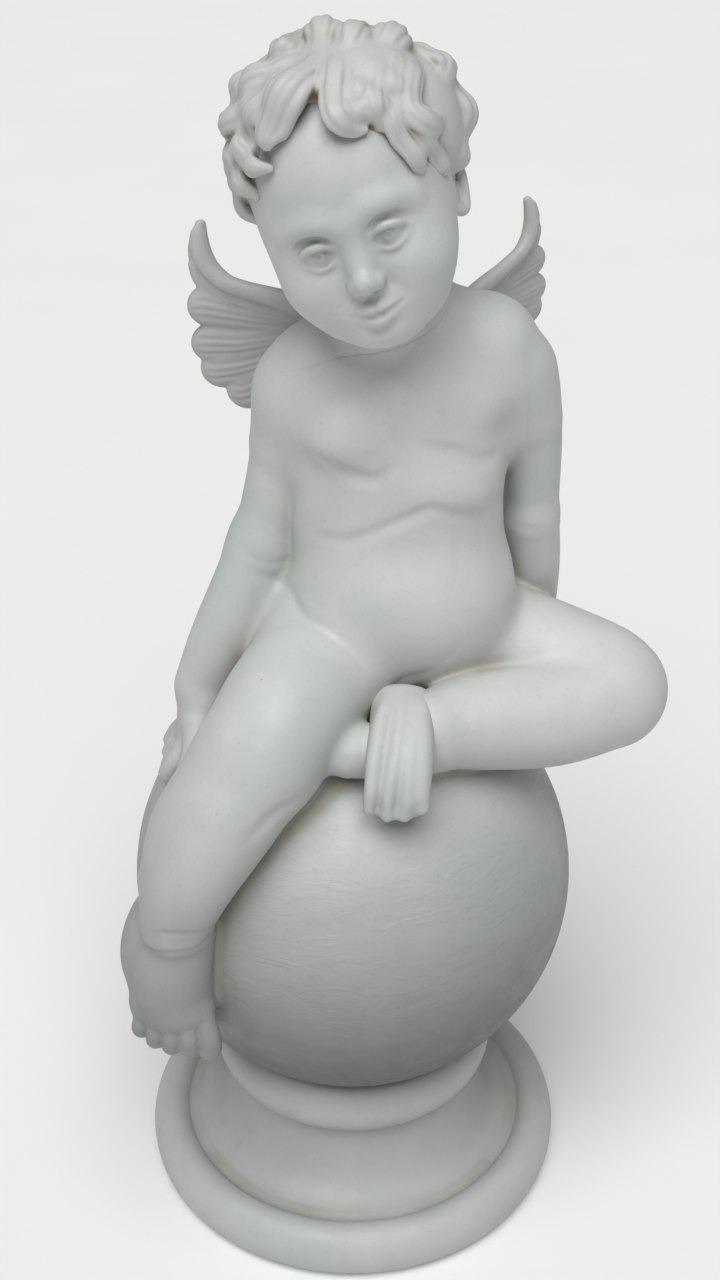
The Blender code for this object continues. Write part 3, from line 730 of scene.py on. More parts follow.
    def hands(self, clay: Clay) -> None:
        """Each hand lies on the ball with its fingers side by side."""
        clay.add(Ellipsoid((-75, -3, 273), (11, 15, 19), roll=14), 8)
        for finger, (start, end) in enumerate([(-13, -16), (-6, -7), (1, 2), (8, 10)]):
            short = abs(finger - 1)
            line = [(-80, start, 265), (-86.5, end, 256 + short), (-90.5, end, 248.5 + 2 * short)]
            clay.add(Strand(line, [5.8, 5.4, 4.6]), 1.8)
        clay.add(Strand([(-75, -13, 276), (-76, -21, 267), (-80, -26, 258)], [7, 6.2, 5]), 3)
        clay.add(Ellipsoid((84, 52, 268), (11.5, 13.5, 20), roll=-8), 10)
        for start, end in ((44, 42), (51, 50), (58, 58), (65, 66)):
            line = [self.on_ball(start, 258, 10), self.on_ball(end, 245, 6), self.on_ball(end, 234, 3)]
            clay.add(Strand(line, [5.8, 5.4, 4.6]), 1.8)

    @staticmethod
    def on_ball(y: float, z: float, height: float) -> Triple:
        """The point of the ball's left side with these coordinates, at a height above its skin."""
        square = (BALL_UNITS + height) ** 2 - y ** 2 - (z - SEAT_LEVEL + BALL_UNITS) ** 2
        return (math.sqrt(square), y, z)

    def neck(self, clay: Clay) -> None:
        """The neck, which leans with the head."""
        line = [(23, 20, 448), (20, 16, 466), (14, 10, 484), (7, 6, 502)]
        clay.add(Strand(line, [32, 27, 25, 27]), 12)

    def creases(self, clay: Clay) -> None:
        """The soft lines of a plump child's chest, waist and joints."""
        self.furrows(clay, (
            (3.2, 2.6, (-20, -20, 415), (-10, -24, 411), (-1, -24, 409), (9, -24, 409), (17, -24, 415)),
            (3.2, 2.4, (30, -22, 425), (40, -20, 423), (52, -16, 419), (62, -14, 416), (72, -8, 415)),
            (4, 1.6, (20, -22, 444), (21, -24, 434), (23, -24, 425), (24, -24, 412)),
            (3.0, 1.7, (-16, -14, 377), (-6, -24, 379), (5, -28, 383), (15, -30, 388), (27, -30, 392),
             (36, -28, 395), (48, -24, 390), (62, -18, 387)),
            (3.2, 1.4, (-46, 4, 354), (-34, -14, 350), (-22, -24, 341), (-12, -30, 331), (-1, -34, 321)),
            (2.0, 0.5, (-53, 6, 363), (-45, 2, 359), (-38, 2, 357), (-32, 3, 358)),
            (2.0, 0.5, (77, 14, 368), (84, 16, 365), (91, 20, 366)),
            (3.5, 1.3, (-27, -82, 285), (-36, -93, 280), (-46, -99, 273))))

    def take(self, whole: Clay) -> Object:
        """The body as a mesh, rounded into the ball where it rests.

        Args:
            whole: The whole figure's clay.

        Returns:
            The body.
        """
        clay = Clay(self.low, self.high, self.step)
        self.model(clay)
        bare = clay.field.copy()
        middle = (0, 0, SEAT_LEVEL - BALL_UNITS)
        clay.add(Ellipsoid(middle, (BALL_UNITS - self.ball_gap,) * 3), self.ball_fillet)
        clay.keep_near(bare, self.ball_reach)
        clay.cut(self.neck_point, self.neck_axis)
        return Build.from_clay(self.NAME, clay, self.triangles, whole)


@dataclass
class Head(Modelled):
    """Skull, ears and a calm child's face, on the top of the neck."""

    figure: Figure
    step: float = 0.65
    triangles: int = 120000
    low: Triple = (-52, -62, 448)
    high: Triple = (62, 66, 582)
    seam: float = 1.6
    seam_depth: float = 0.15

    NAME = "cherub_head"

    def model(self, clay: Clay) -> None:
        """Skull, face and ears."""
        for part in (self.skull, self.cheeks, self.eyes, self.nose, self.mouth, self.ears):
            part(clay)

    def skull(self, clay: Clay) -> None:
        """The round of the head."""
        clay.add(Ellipsoid(Hair.SCALP_CENTRE, Hair.SCALP_RADII), 6, HEAD)
        clay.add(Ellipsoid((0, -8, 3), (36.5, 34, 38)), 8, HEAD)
        clay.add(Ellipsoid((0, -14, -24), (27, 25, 23)), 10, HEAD)

    def cheeks(self, clay: Clay) -> None:
        """Full cheeks, a round chin and the soft mass under it."""
        for side in BOTH_SIDES:
            frame = HEAD.mirrored(side)
            clay.add(Ellipsoid((19.5, -24, -18), (16.5, 16.5, 16)), 10, frame)
            clay.add(Ellipsoid((24, -6, -4), (14.5, 24, 27)), 10, frame)
            clay.add(Ellipsoid((13.5, -21, -30), (14.5, 14.5, 12.5)), 10, frame)
        clay.add(Ellipsoid((0, -29, -31), (16, 14.5, 13)), 8, HEAD)
        clay.add(Ellipsoid((0, -30, -41.5), (13.5, 11, 8)), 7, HEAD)
        clay.add(Ellipsoid((0, -16, -38), (24, 20, 11)), 9, HEAD)

    def eyes(self, clay: Clay) -> None:
        """Open eyes with plain lids in shallow sockets under even brows."""
        for side in BOTH_SIDES:
            frame = HEAD.mirrored(side)
            clay.carve(Ellipsoid((14.2, -48.0, -1.0), (10.8, 8.8, 8.2)), 8, frame)
            brow = [(6, -38.5, 8.5), (12, -39.4, 10.5), (20, -36.5, 10), (26, -31, 7)]
            clay.add(Strand(brow, [1.6, 2.0, 1.8, 1.4]), 9, frame)
            clay.add(Ellipsoid((14.6, -31.0, -1.8), (8.8, 8.8, 8.4)), 1.2, frame)
            upper = [(5.8, -36.4, -3.2), (9.2, -39.4, 0.4), (14.2, -41.0, 2.2), (19.4, -39.2, 1.2),
                     (23.2, -35.2, -2.0)]
            clay.add(Strand(upper, [0.9, 1.4, 1.7, 1.6, 1.0]), 1.6, frame)
            lower = [(5.8, -36.4, -3.8), (10, -38.8, -6.6), (14.8, -39.6, -7.6), (19.6, -37.8, -6.2),
                     (23.2, -34.8, -2.8)]
            clay.add(Strand(lower, [0.7, 0.9, 1.1, 1.0, 0.7]), 2.4, frame)
            turn = np.linspace(0, 2 * math.pi, 13)
            iris = [(14.4 + 3.3 * math.cos(a), -40, -2.4 + 3.3 * math.sin(a)) for a in turn]
            clay.groove(iris, 0.7, 0.55, frame)
            clay.carve(Ellipsoid((14.4, -40.2, -2.2), (1.3, 1.3, 1.3)), 0.8, frame)

    def nose(self, clay: Clay) -> None:
        """A short straight nose."""
        ridge = [(0, -37.5, 5), (0, -39.6, -4), (0, -42.4, -10.5), (0, -44.8, -15.5)]
        clay.add(Strand(ridge, [4.0, 3.7, 4.0, 4.4]), 8, HEAD)
        clay.add(Ellipsoid((0, -46.6, -16.2), (4.1, 4.1, 3.9)), 3.5, HEAD)
        for side in BOTH_SIDES:
            frame = HEAD.mirrored(side)
            clay.add(Ellipsoid((4.7, -43.0, -17.6), (2.8, 3.8, 2.9)), 2.8, frame)
            clay.carve(Ellipsoid((2.6, -44.4, -20.4), (1.2, 1.6, 0.9)), 1.2, frame)

    def mouth(self, clay: Clay) -> None:
        """Closed lips, and the fine lines of lids, nostrils and lips."""
        upper = [(-9, -39.0, -29.2), (-5, -42.2, -28.7), (-2, -43.8, -28.0), (0, -43.4, -28.6),
                 (2, -43.8, -28.0), (5, -42.2, -28.7), (9, -39.0, -29.2)]
        lower = [(-7.4, -39.4, -30.8), (-3.5, -42.0, -33.2), (0, -42.8, -33.9), (3.5, -42.0, -33.2),
                 (7.4, -39.4, -30.8)]
        clay.add(Strand(upper, [1.0, 2.0, 2.4, 2.2, 2.4, 2.0, 1.0]), 2.4, HEAD)
        clay.add(Strand(lower, [1.0, 2.4, 2.9, 2.4, 1.0]), 2.4, HEAD)
        for side in BOTH_SIDES:
            frame = HEAD.mirrored(side)
            fold = [(6.8, -38, 2.6), (10, -40, 5.0), (15, -40.5, 6.0), (20, -38, 5.0), (24, -34.5, 2.0)]
            clay.groove(fold, 1.1, 0.5, frame)
            clay.groove([(8.5, -42, -20), (12, -41, -24), (13.6, -40, -28)], 2.4, 0.5, frame)
        parting = [(-10.5, -39, -29.2), (-5.5, -43.5, -30.5), (-2, -45.6, -31.2), (0, -45.6, -30.9),
                   (2, -45.6, -31.2), (5.5, -43.5, -30.5), (10.5, -39, -29.2)]
        clay.groove(parting, 1.1, 1.5, HEAD)
        clay.groove([(-6, -41, -37.4), (0, -42, -38.2), (6, -41, -37.4)], 2.4, 1.4, HEAD)
        clay.groove([(0, -45, -23.5), (0, -44.5, -27)], 1.4, 0.4, HEAD)

    def ears(self, clay: Clay) -> None:
        """Small ears: a rim, a lobe and the hollow inside."""
        for side in BOTH_SIDES:
            frame = HEAD.mirrored(side)
            rim = [(38, 2, -15), (40, 6, -17), (42, 10, -12), (43, 12, -4), (42, 10, 4), (40, 4, 7),
                   (38.5, 0, 2)]
            clay.add(Strand(rim, [2.4, 3.0, 2.4, 2.2, 2.3, 2.2, 1.6]), 2.0, frame)
            clay.add(Ellipsoid((37.5, 5, -5), (3.4, 7, 10)), 2.5, frame)
            clay.carve(Ellipsoid((42.5, 4.5, -6), (2.8, 3.4, 5.4)), 1.4, frame)

    def take(self, whole: Clay) -> Object:
        """The head as a mesh, down to its seam on the neck.

        Args:
            whole: The whole figure's clay.

        Returns:
            The head.
        """
        clay = Clay(self.low, self.high, self.step)
        self.figure.trunk(clay)
        self.figure.arms(clay)
        self.figure.neck(clay)
        self.model(clay)
        axis = unit(np.array(self.figure.neck_axis))
        point = np.array(self.figure.neck_point)
        clay.field += self.seam_depth * np.clip(1 - clay.beyond(point, axis) / self.seam, 0, 1)
        clay.cut(point - axis * self.seam, -axis)
        return Build.from_clay(self.NAME, clay, self.triangles, whole)


@dataclass
class Hair(Modelled):
    """Short tousled hair: lobed locks that lie on a cap, each of a few soft ridges."""

    step: float = 0.75
    triangles: int = 170000
    low: Triple = (-62, -62, 462)
    high: Triple = (66, 74, 606)
    seed: int = 7
    ridges: int = 4
    soft: float = 1.1
    blend: float = 2.6
    ripple: float = 1.3
    stand: float = 2.2
    free_stand: float = 4
    spread: float = 0.68
    droop: float = 0.30
    waves: int = 7

    NAME = "cherub_hair"
    SCALP_CENTRE = np.array([0, 9, 20.0])
    SCALP_RADII = np.array([42, 49, 41.0])
    # Each lock: its path as longitude and latitude on the scalp, its half width, its lift and its flick
    LOCKS = (
        (((141, 67), (126, 76), (60, 77), (20, 69)), 8.0, 8.5, 0.0),
        (((126, 56), (98, 63), (60, 62), (38, 58)), 7.5, 8.5, 0.0),
        (((116, 38), (108, 43), (80, 48), (58, 50)), 8.0, 9.0, 0.0),
        (((177, 74), (-107, 84), (-66, 77), (-51, 65)), 8.0, 6.0, 0.0),
        (((-20, 76), (-46, 66), (-72, 56), (-92, 46)), 8.5, 6.0, 2.0),
        (((-117, 67), (-104, 57), (-98, 47), (-92, 38)), 8.5, 6.0, 4.0),
        (((-88, 26), (-66, 20), (-54, 12), (-45, 4)), 6.0, 3.0, 0.0),
        (((-96, 22), (-86, 8), (-78, -6), (-68, -18)), 6.0, 3.0, 0.5),
        (((-104, 14), (-98, 0), (-92, -14), (-90, -26)), 7.0, 3.0, 0.5),
        (((-39, 54), (-56, 46), (-74, 38), (-92, 30)), 6.5, 4.5, 7.5),
        (((-14, 66), (-28, 54), (-41, 43), (-48, 34)), 6.5, 5.0, 0.0),
        (((-58, 38), (-51, 28), (-40, 21), (-27, 18)), 5.2, 3.5, 1.0),
        (((24, 68), (8, 60), (-6, 51), (-17, 42), (-25, 34), (-27, 27)), 9.4, 6.5, 1.5),
        (((66, 48), (48, 41), (38, 34), (33, 26), (33, 18)), 6.0, 5.0, 0.5),
        (((80, 44), (62, 38), (50, 31), (44, 23)), 6.0, 6.0, 0.0),
        (((48, 34), (42, 24), (39, 15), (41, 5), (43, -5), (46, -15)), 5.2, 3.0, 0.0),
        (((44, 14), (51, 4), (57, -6), (60, -15), (56, -23)), 5.4, 3.0, 0.0),
        (((112, 36), (104, 25), (95, 17), (82, 15)), 7.5, 10.5, 3.0),
        (((110, 22), (104, 10), (98, 0), (93, -9), (88, -16)), 7.5, 10.0, 5.0),
        (((100, -4), (94, -14), (88, -22), (81, -30)), 6.8, 6.0, 0.0),
        (((96, 36), (74, 32), (57, 26), (50, 18), (54, 10), (66, 6), (80, 8)), 6.2, 6.5, 2.0),
        (((42, 64), (28, 53), (18, 42), (14, 32), (17, 25), (25, 21)), 6.4, 5.5, 1.5),
        (((46, 44), (34, 39), (26, 34), (24, 29), (29, 25)), 4.6, 4.5, 1.5),
    )
    # A lock's share of its length, and how much of its width it has there
    TAPER = ((0, 0.2, 0.5, 0.75, 0.9, 1), (0.6, 0.94, 1, 0.84, 0.56, 0.26))
    # Within what a further lock's half width, lift and flick lie
    FREE_LOCK = ((6.6, 8.6), (3, 7), (-1, 4))
    # Rings of further locks: latitude, how many, length, and the longitudes left free in front
    RINGS = ((78, 4, 34, 150), (62, 8, 36, 96), (44, 11, 36, 112), (24, 13, 34, 106), (6, 12, 32, 102),
             (-12, 10, 30, 104), (-26, 8, 26, 116))

    @classmethod
    def on_scalp(cls, direction: np.ndarray, height: float) -> np.ndarray:
        """The point at a height above the scalp in a direction from its centre."""
        reach = 1 / math.sqrt(((direction / cls.SCALP_RADII) ** 2).sum())
        return cls.SCALP_CENTRE + direction * (reach + height)

    @staticmethod
    def direction(longitude: float, latitude: float) -> np.ndarray:
        """A direction from the scalp's centre. Longitude 0 is the front."""
        lon, lat = math.radians(longitude), math.radians(latitude)
        return np.array([math.sin(lon) * math.cos(lat), -math.cos(lon) * math.cos(lat), math.sin(lat)])

    def lay(self, clay: Clay, directions: Sequence, half_width: float, lift: float,
            flick: float) -> None:
        """Lay one lock along the scalp.

        Args:
            clay: The clay that it is joined to.
            directions: The directions from the scalp's centre that its middle passes through.
            half_width: Half its width.
            lift: How far its middle rises above its ends.
            flick: How far its tip stands off.
        """
        path, _ = smooth_line(directions, np.ones(len(directions)), 5)
        share = np.linspace(0, 1, len(path))
        height = self.stand + lift * np.sin(np.pi * share ** 0.85) + flick * share ** 3
        height = height + self.ripple * np.sin(4 * np.pi * share + 0.9 * half_width)
        outward = path / np.linalg.norm(path, axis=1, keepdims=True)
        middle = np.array([self.on_scalp(*pair) for pair in zip(outward, height)])
        along = np.gradient(middle, axis=0)
        across = np.cross(along / np.linalg.norm(along, axis=1, keepdims=True), outward)
        profile = half_width * np.interp(share, *self.TAPER)
        strands = []
        for shift in np.linspace(-1, 1, self.ridges):
            line = middle + across * (shift * profile * self.spread)[:, None]
            line = line - outward * (shift * shift * profile * self.droop)[:, None]
            strands.append(Strand(line, profile * (0.385 - 0.05 * abs(shift)), steps=2))
        clay.add_bundle(strands, self.soft, self.blend, HEAD)

    def waved(self, random: np.random.Generator, longitude: float, latitude: float,
              length: float) -> list:
        """Let a free lock fall from its root in a slow wave and curl at its tip.

        Args:
            random: Where its wave, curl and lean are drawn from.
            longitude: Its root's longitude.
            latitude: Its root's latitude.
            length: Its length.

        Returns:
            The directions that it passes through.
        """
        place = self.on_scalp(self.direction(longitude, latitude), self.free_stand)
        wave = random.choice([-1, 1]) * random.uniform(0.5, 0.9)
        curl = random.choice([-1, 1]) * random.uniform(0.9, 2.2)
        lean = random.uniform(-0.5, 0.5) - curl / 3
        found = []
        for share in np.linspace(0, 1, self.waves):
            normal = unit(place - self.SCALP_CENTRE)
            found.append(normal)
            down = unit(normal * normal[2] - np.array([0, 0, 1]))
            angle = lean + wave * math.sin(2 * math.pi * share) + curl * share ** 1.5
            onward = down * math.cos(angle) + np.cross(normal, down) * math.sin(angle)
            place = self.on_scalp(normal, self.free_stand) + onward * length / self.waves
        return found

    def model(self, clay: Clay) -> None:
        """The cap, rings of locks over the crown, sides and back, and the chosen ones in front."""
        random = np.random.default_rng(self.seed)
        clay.add(Ellipsoid((0, 17, 22), (46, 46.5, 45)), 3, HEAD)
        clay.add(Ellipsoid((0, 24, 2), (42, 37.5, 35)), 4, HEAD)
        clay.add(Ellipsoid((0, 13, 29), (45, 48, 38.5)), 4, HEAD)
        clay.add(Ellipsoid((37, 13, 22), (15, 25, 23)), 6, HEAD)
        clay.add(Ellipsoid((14, 0, 44), (26, 26, 20)), 6, HEAD)
        clay.carve(Ellipsoid((-9, -40, 37), (25, 23, 29)), 3, HEAD)
        clay.add(Ellipsoid((-34, 20, -4), (11, 18, 20)), 6, HEAD)
        for latitude, count, length, open_front in self.RINGS:
            for i in range(count):
                longitude = 360 * i / count - 180 + random.uniform(-7, 7)
                path = self.waved(random, longitude, latitude + random.uniform(-4, 4), length)
                half_width, lift, flick = (random.uniform(*ends) for ends in self.FREE_LOCK)
                if abs(longitude) > open_front:
                    self.lay(clay, path, half_width, lift, flick)
        for path, half_width, lift, flick in self.LOCKS:
            self.lay(clay, [self.direction(*place) for place in path], half_width, lift, flick)


class Mount(NamedTuple):
    """How a wing is set on the back."""

    name: str
    origin: Triple
    yaw: float
    roll: float
    side: int
    size: float

    def pose(self, bow: float) -> Pose:
        """The wing's frame."""
        return Pose(self.origin, yaw=self.yaw, roll=self.roll, side=self.side, bow=bow)


class Side(Enum):
    """The two wings, as the figure has them."""

    RIGHT = Mount("right_wing", (-8, 42, 455), -24, 0, -1, 1.0)
    LEFT = Mount("left_wing", (50, 46, 460), 51, -14, 1, 0.80)


@dataclass
class Wing:
    """A short wing: feathers that fan out under a thick leading band that ends in a raised tip."""

    side: Side
    step: float = 0.7
    triangles: int = 56000
    bow: float = -0.003

    # Each feather: its half width at the end, and four places from its end to its root
    FEATHERS = ((10.4, (58.4, 7.2), (46, 5), (30, 3), (10, 1)),
                (9.9, (58.2, -11), (45, -10.5), (29, -7), (10, -2)),
                (9.7, (55, -23.5), (43, -21), (28, -15), (8, -4)),
                (9.7, (44, -33.8), (34, -28), (21, -19), (5, -6)),
                (9.0, (31, -35), (23, -29), (13, -20), (1, -8)),
                (8.2, (19, -35), (12, -29), (5, -20), (-4, -9)),
                (7.0, (7, -32), (2, -26), (-3, -18), (-8, -8)))
    # The quill's places and radii, and the band's
    QUILL = ((63.4, 41, 2.4), (62.8, 31, 4.6), (59.5, 21, 6.2), (51, 13.5, 6.6), (40, 9.5, 6.4),
             (25, 6, 6), (8, 3, 6))
    BAND = ((-8, 2, 1, 9.0), (6, 0, 6, 7.0), (19, -2, 11.4, 5.4), (30, -3, 14.2, 4.4),
            (41, -3, 16.4, 4.0), (50, -3, 19.4, 3.9), (57, -2, 25, 4.0), (60.8, -1, 31.5, 4.0),
            (62, 0, 39, 3.2), (62.0, 1, 45, 2.2))
    # The room that a wing has in its own frame: its lowest corner and its size
    ROOM = ((-26, -16, -56), (112, 34, 118))

    def model(self, clay: Clay) -> None:
        """Feathers, the tip's long quill and the leading band, and the fine lines along each feather."""
        pose, size = self.side.value.pose(self.bow), self.side.value.size
        for row, (radius, *line) in enumerate(self.FEATHERS):
            points = [(size * x, 0.5 * row, size * z) for x, z in line]
            widths = size * radius * np.array([1.0, 0.86, 0.68, 0.5])
            clay.add(Strand(points, widths, squash=(1, 0.42, 1)), 0.7, pose)
        quill = np.array(self.QUILL) * size
        clay.add(Strand([(x, -0.6, z) for x, z, _ in quill], quill[:, 2], squash=(1, 0.5, 1)), 0.9, pose)
        self.lines(clay, pose, size)
        band = np.array(self.BAND) * (size, 1, size, size)
        clay.add(Strand(band[:, :3], band[:, 3]), 1.4, pose)

    def lines(self, clay: Clay, pose: Pose, size: float) -> None:
        """Fine lines along each feather and the quill, front and back."""
        bundles = [(radius, [np.array(place) * size for place in line])
                   for radius, *line in self.FEATHERS[:5]]
        bundles.append((5.0, [np.array(place[:2]) * size for place in self.QUILL[1:5]]))
        for row, (radius, line) in enumerate(bundles):
            narrow = (1.0, 0.9, 0.7, 0.5)
            for shift in (-0.42, -0.08, 0.30):
                across = [np.array([0.0, shift * radius * size * part]) for part in narrow]
                ahead = np.array([0.55 * radius * size * math.cos(math.asin(shift)), 0.0])
                places = [line[0] + across[0] + ahead]
                places += [place + aside for place, aside in zip(line, across)]
                for face in BOTH_SIDES:
                    depth = 0.5 * row + 3.4 * face
                    clay.groove([(x, depth, z) for x, z in places], 0.9, 0.85, pose)

    def take(self, whole: Clay) -> Object:
        """The wing as a mesh."""
        low, size = np.array(self.ROOM)
        corners = self.side.value.pose(self.bow).world(low + CORNERS * size)
        clay = Clay(corners.min(0), corners.max(0), self.step)
        self.model(clay)
        return Build.from_clay(self.side.value.name, clay, self.triangles, whole)


@dataclass
class LapCloth(Modelled):
    """A plain fold of carved cloth over the lap that falls over the tucked foot."""

    step: float = 0.8
    triangles: int = 40000
    low: Triple = (-16, -102, 250)
    high: Triple = (62, -8, 342)

    NAME = "lap_cloth"
    DRAPE = ((22, -34, 306), (22, -54, 304), (21, -70, 297), (21, -79, 287), (20, -83, 277))
    # Each fold's radius and the line that it follows
    FOLDS = ((2.6, (19, -34, 306), (14, -54, 309), (10, -73, 301), (8, -84, 289), (6.5, -86, 279)),
             (1.9, (25, -35, 306), (22, -56, 310), (19, -75, 301), (16, -86, 288), (15, -88, 276)),
             (2.8, (31, -34, 306), (31, -54, 309), (31, -73, 300), (30, -84, 288), (31, -86, 280)),
             (1.7, (28, -40, 307), (27, -60, 308), (25, -78, 298), (24, -87, 285), (23, -88, 276)))

    def model(self, clay: Clay) -> None:
        """One broad drape with a few uneven folds that spread towards its hem."""
        clay.add(Strand(self.DRAPE, [5.6, 6.2, 6.2, 5.6, 4.6], squash=(2.35, 1, 1)), 1)
        for radius, *line in self.FOLDS:
            clay.add(Strand(line, [radius * 0.3, radius, radius * 1.1, radius * 1.1, radius * 0.8]), 5)


Value = float | Sequence | NodeSocket


class Board:
    """A node tree that is written in short calls."""

    ROUGHNESS = 0.55

    def __init__(self, tree: bpy.types.NodeTree) -> None:
        """Keep the tree that is written to."""
        self.tree = tree

    @classmethod
    def emptied(cls, owner: Material | bpy.types.World) -> "Board":
        """The node tree of a material or world, with nothing in it yet."""
        owner.use_nodes = True
        owner.node_tree.nodes.clear()
        return cls(owner.node_tree)

    def node(self, kind: str, sockets: dict[int | str, Value]) -> bpy.types.Node:
        """A new node with its sockets set or linked.

        Args:
            kind: The node's type.
            sockets: For each input, a constant or the output that feeds it.

        Returns:
            The node.
        """
        made = self.tree.nodes.new(kind)
        for key, value in sockets.items():
            if isinstance(value, NodeSocket):
                self.tree.links.new(value, made.inputs[key])
            else:
                made.inputs[key].default_value = value
        return made

    def maths(self, operation: str, first: Value, second: Value = 0.0) -> NodeSocket:
        """The result of one arithmetic step."""
        made = self.node("ShaderNodeMath", {0: first, 1: second})
        made.operation = operation
        return made.outputs[0]

    def times(self, first: Value, *others: Value) -> NodeSocket:
        """The values multiplied together."""
        for other in others:
            first = self.maths("MULTIPLY", first, other)
        return first

    def vector_maths(self, operation: str, sockets: dict[int | str, Value]) -> NodeSocket:
        """The result of one step with vectors."""
        made = self.node("ShaderNodeVectorMath", sockets)
        made.operation = operation
        return made.outputs[0]

    def vector(self, *parts: Value) -> NodeSocket:
        """A vector from its coordinates."""
        return self.node("ShaderNodeCombineXYZ", dict(enumerate(parts))).outputs[0]

    def parts(self, vector: NodeSocket) -> bpy.types.NodeOutputs:
        """The coordinates of a vector."""
        return self.node("ShaderNodeSeparateXYZ", {0: vector}).outputs

    def object_place(self) -> NodeSocket:
        """The place on the object."""
        return self.node("ShaderNodeTexCoord", {}).outputs["Object"]

    def span(self, value: Value, low: float, high: float, first: float, last: float) -> NodeSocket:
        """A value taken from one range to another, and held inside it."""
        made = self.node("ShaderNodeMapRange", {0: value, 1: low, 2: high, 3: first, 4: last})
        made.interpolation_type = "SMOOTHSTEP"
        return made.outputs[0]

    def noise(self, place: Value, scale: float, detail: float, twist: float = 0.0) -> NodeSocket:
        """Cloudy noise from 0 to 1."""
        return self.node("ShaderNodeTexNoise", {
            "Vector": place, "Scale": scale, "Detail": detail, "Roughness": self.ROUGHNESS,
            "Distortion": twist}).outputs[0]

    def seeded(self, place: Value, seed: Value, scale: float, detail: float) -> NodeSocket:
        """Cloudy noise from 0 to 1 that a seed chooses."""
        made = self.node("ShaderNodeTexNoise", {
            "Vector": place, "Scale": scale, "Detail": detail, "Roughness": self.ROUGHNESS})
        made.noise_dimensions = "4D"
        self.tree.links.new(seed, made.inputs["W"])
        return made.outputs[0]

    def mixed(self, share: Value, first: Value, second: Value, kind: str = "MIX") -> NodeSocket:
        """One colour laid over another."""
        made = self.tree.nodes.new("ShaderNodeMix")
        made.data_type = "RGBA"
        made.blend_type = kind
        for key, value in ((0, share), (6, first), (7, second)):
            if isinstance(value, NodeSocket):
                self.tree.links.new(value, made.inputs[key])
            else:
                made.inputs[key].default_value = value if isinstance(value, float) else (*value, 1.0)
        return made.outputs[2]

    def moved(self, place: Value, shift: Triple = (0, 0, 0), scale: Triple = (1, 1, 1)) -> NodeSocket:
        """Coordinates shifted and stretched."""
        sockets = {"Vector": place, "Location": shift, "Scale": scale}
        return self.node("ShaderNodeMapping", sockets).outputs[0]


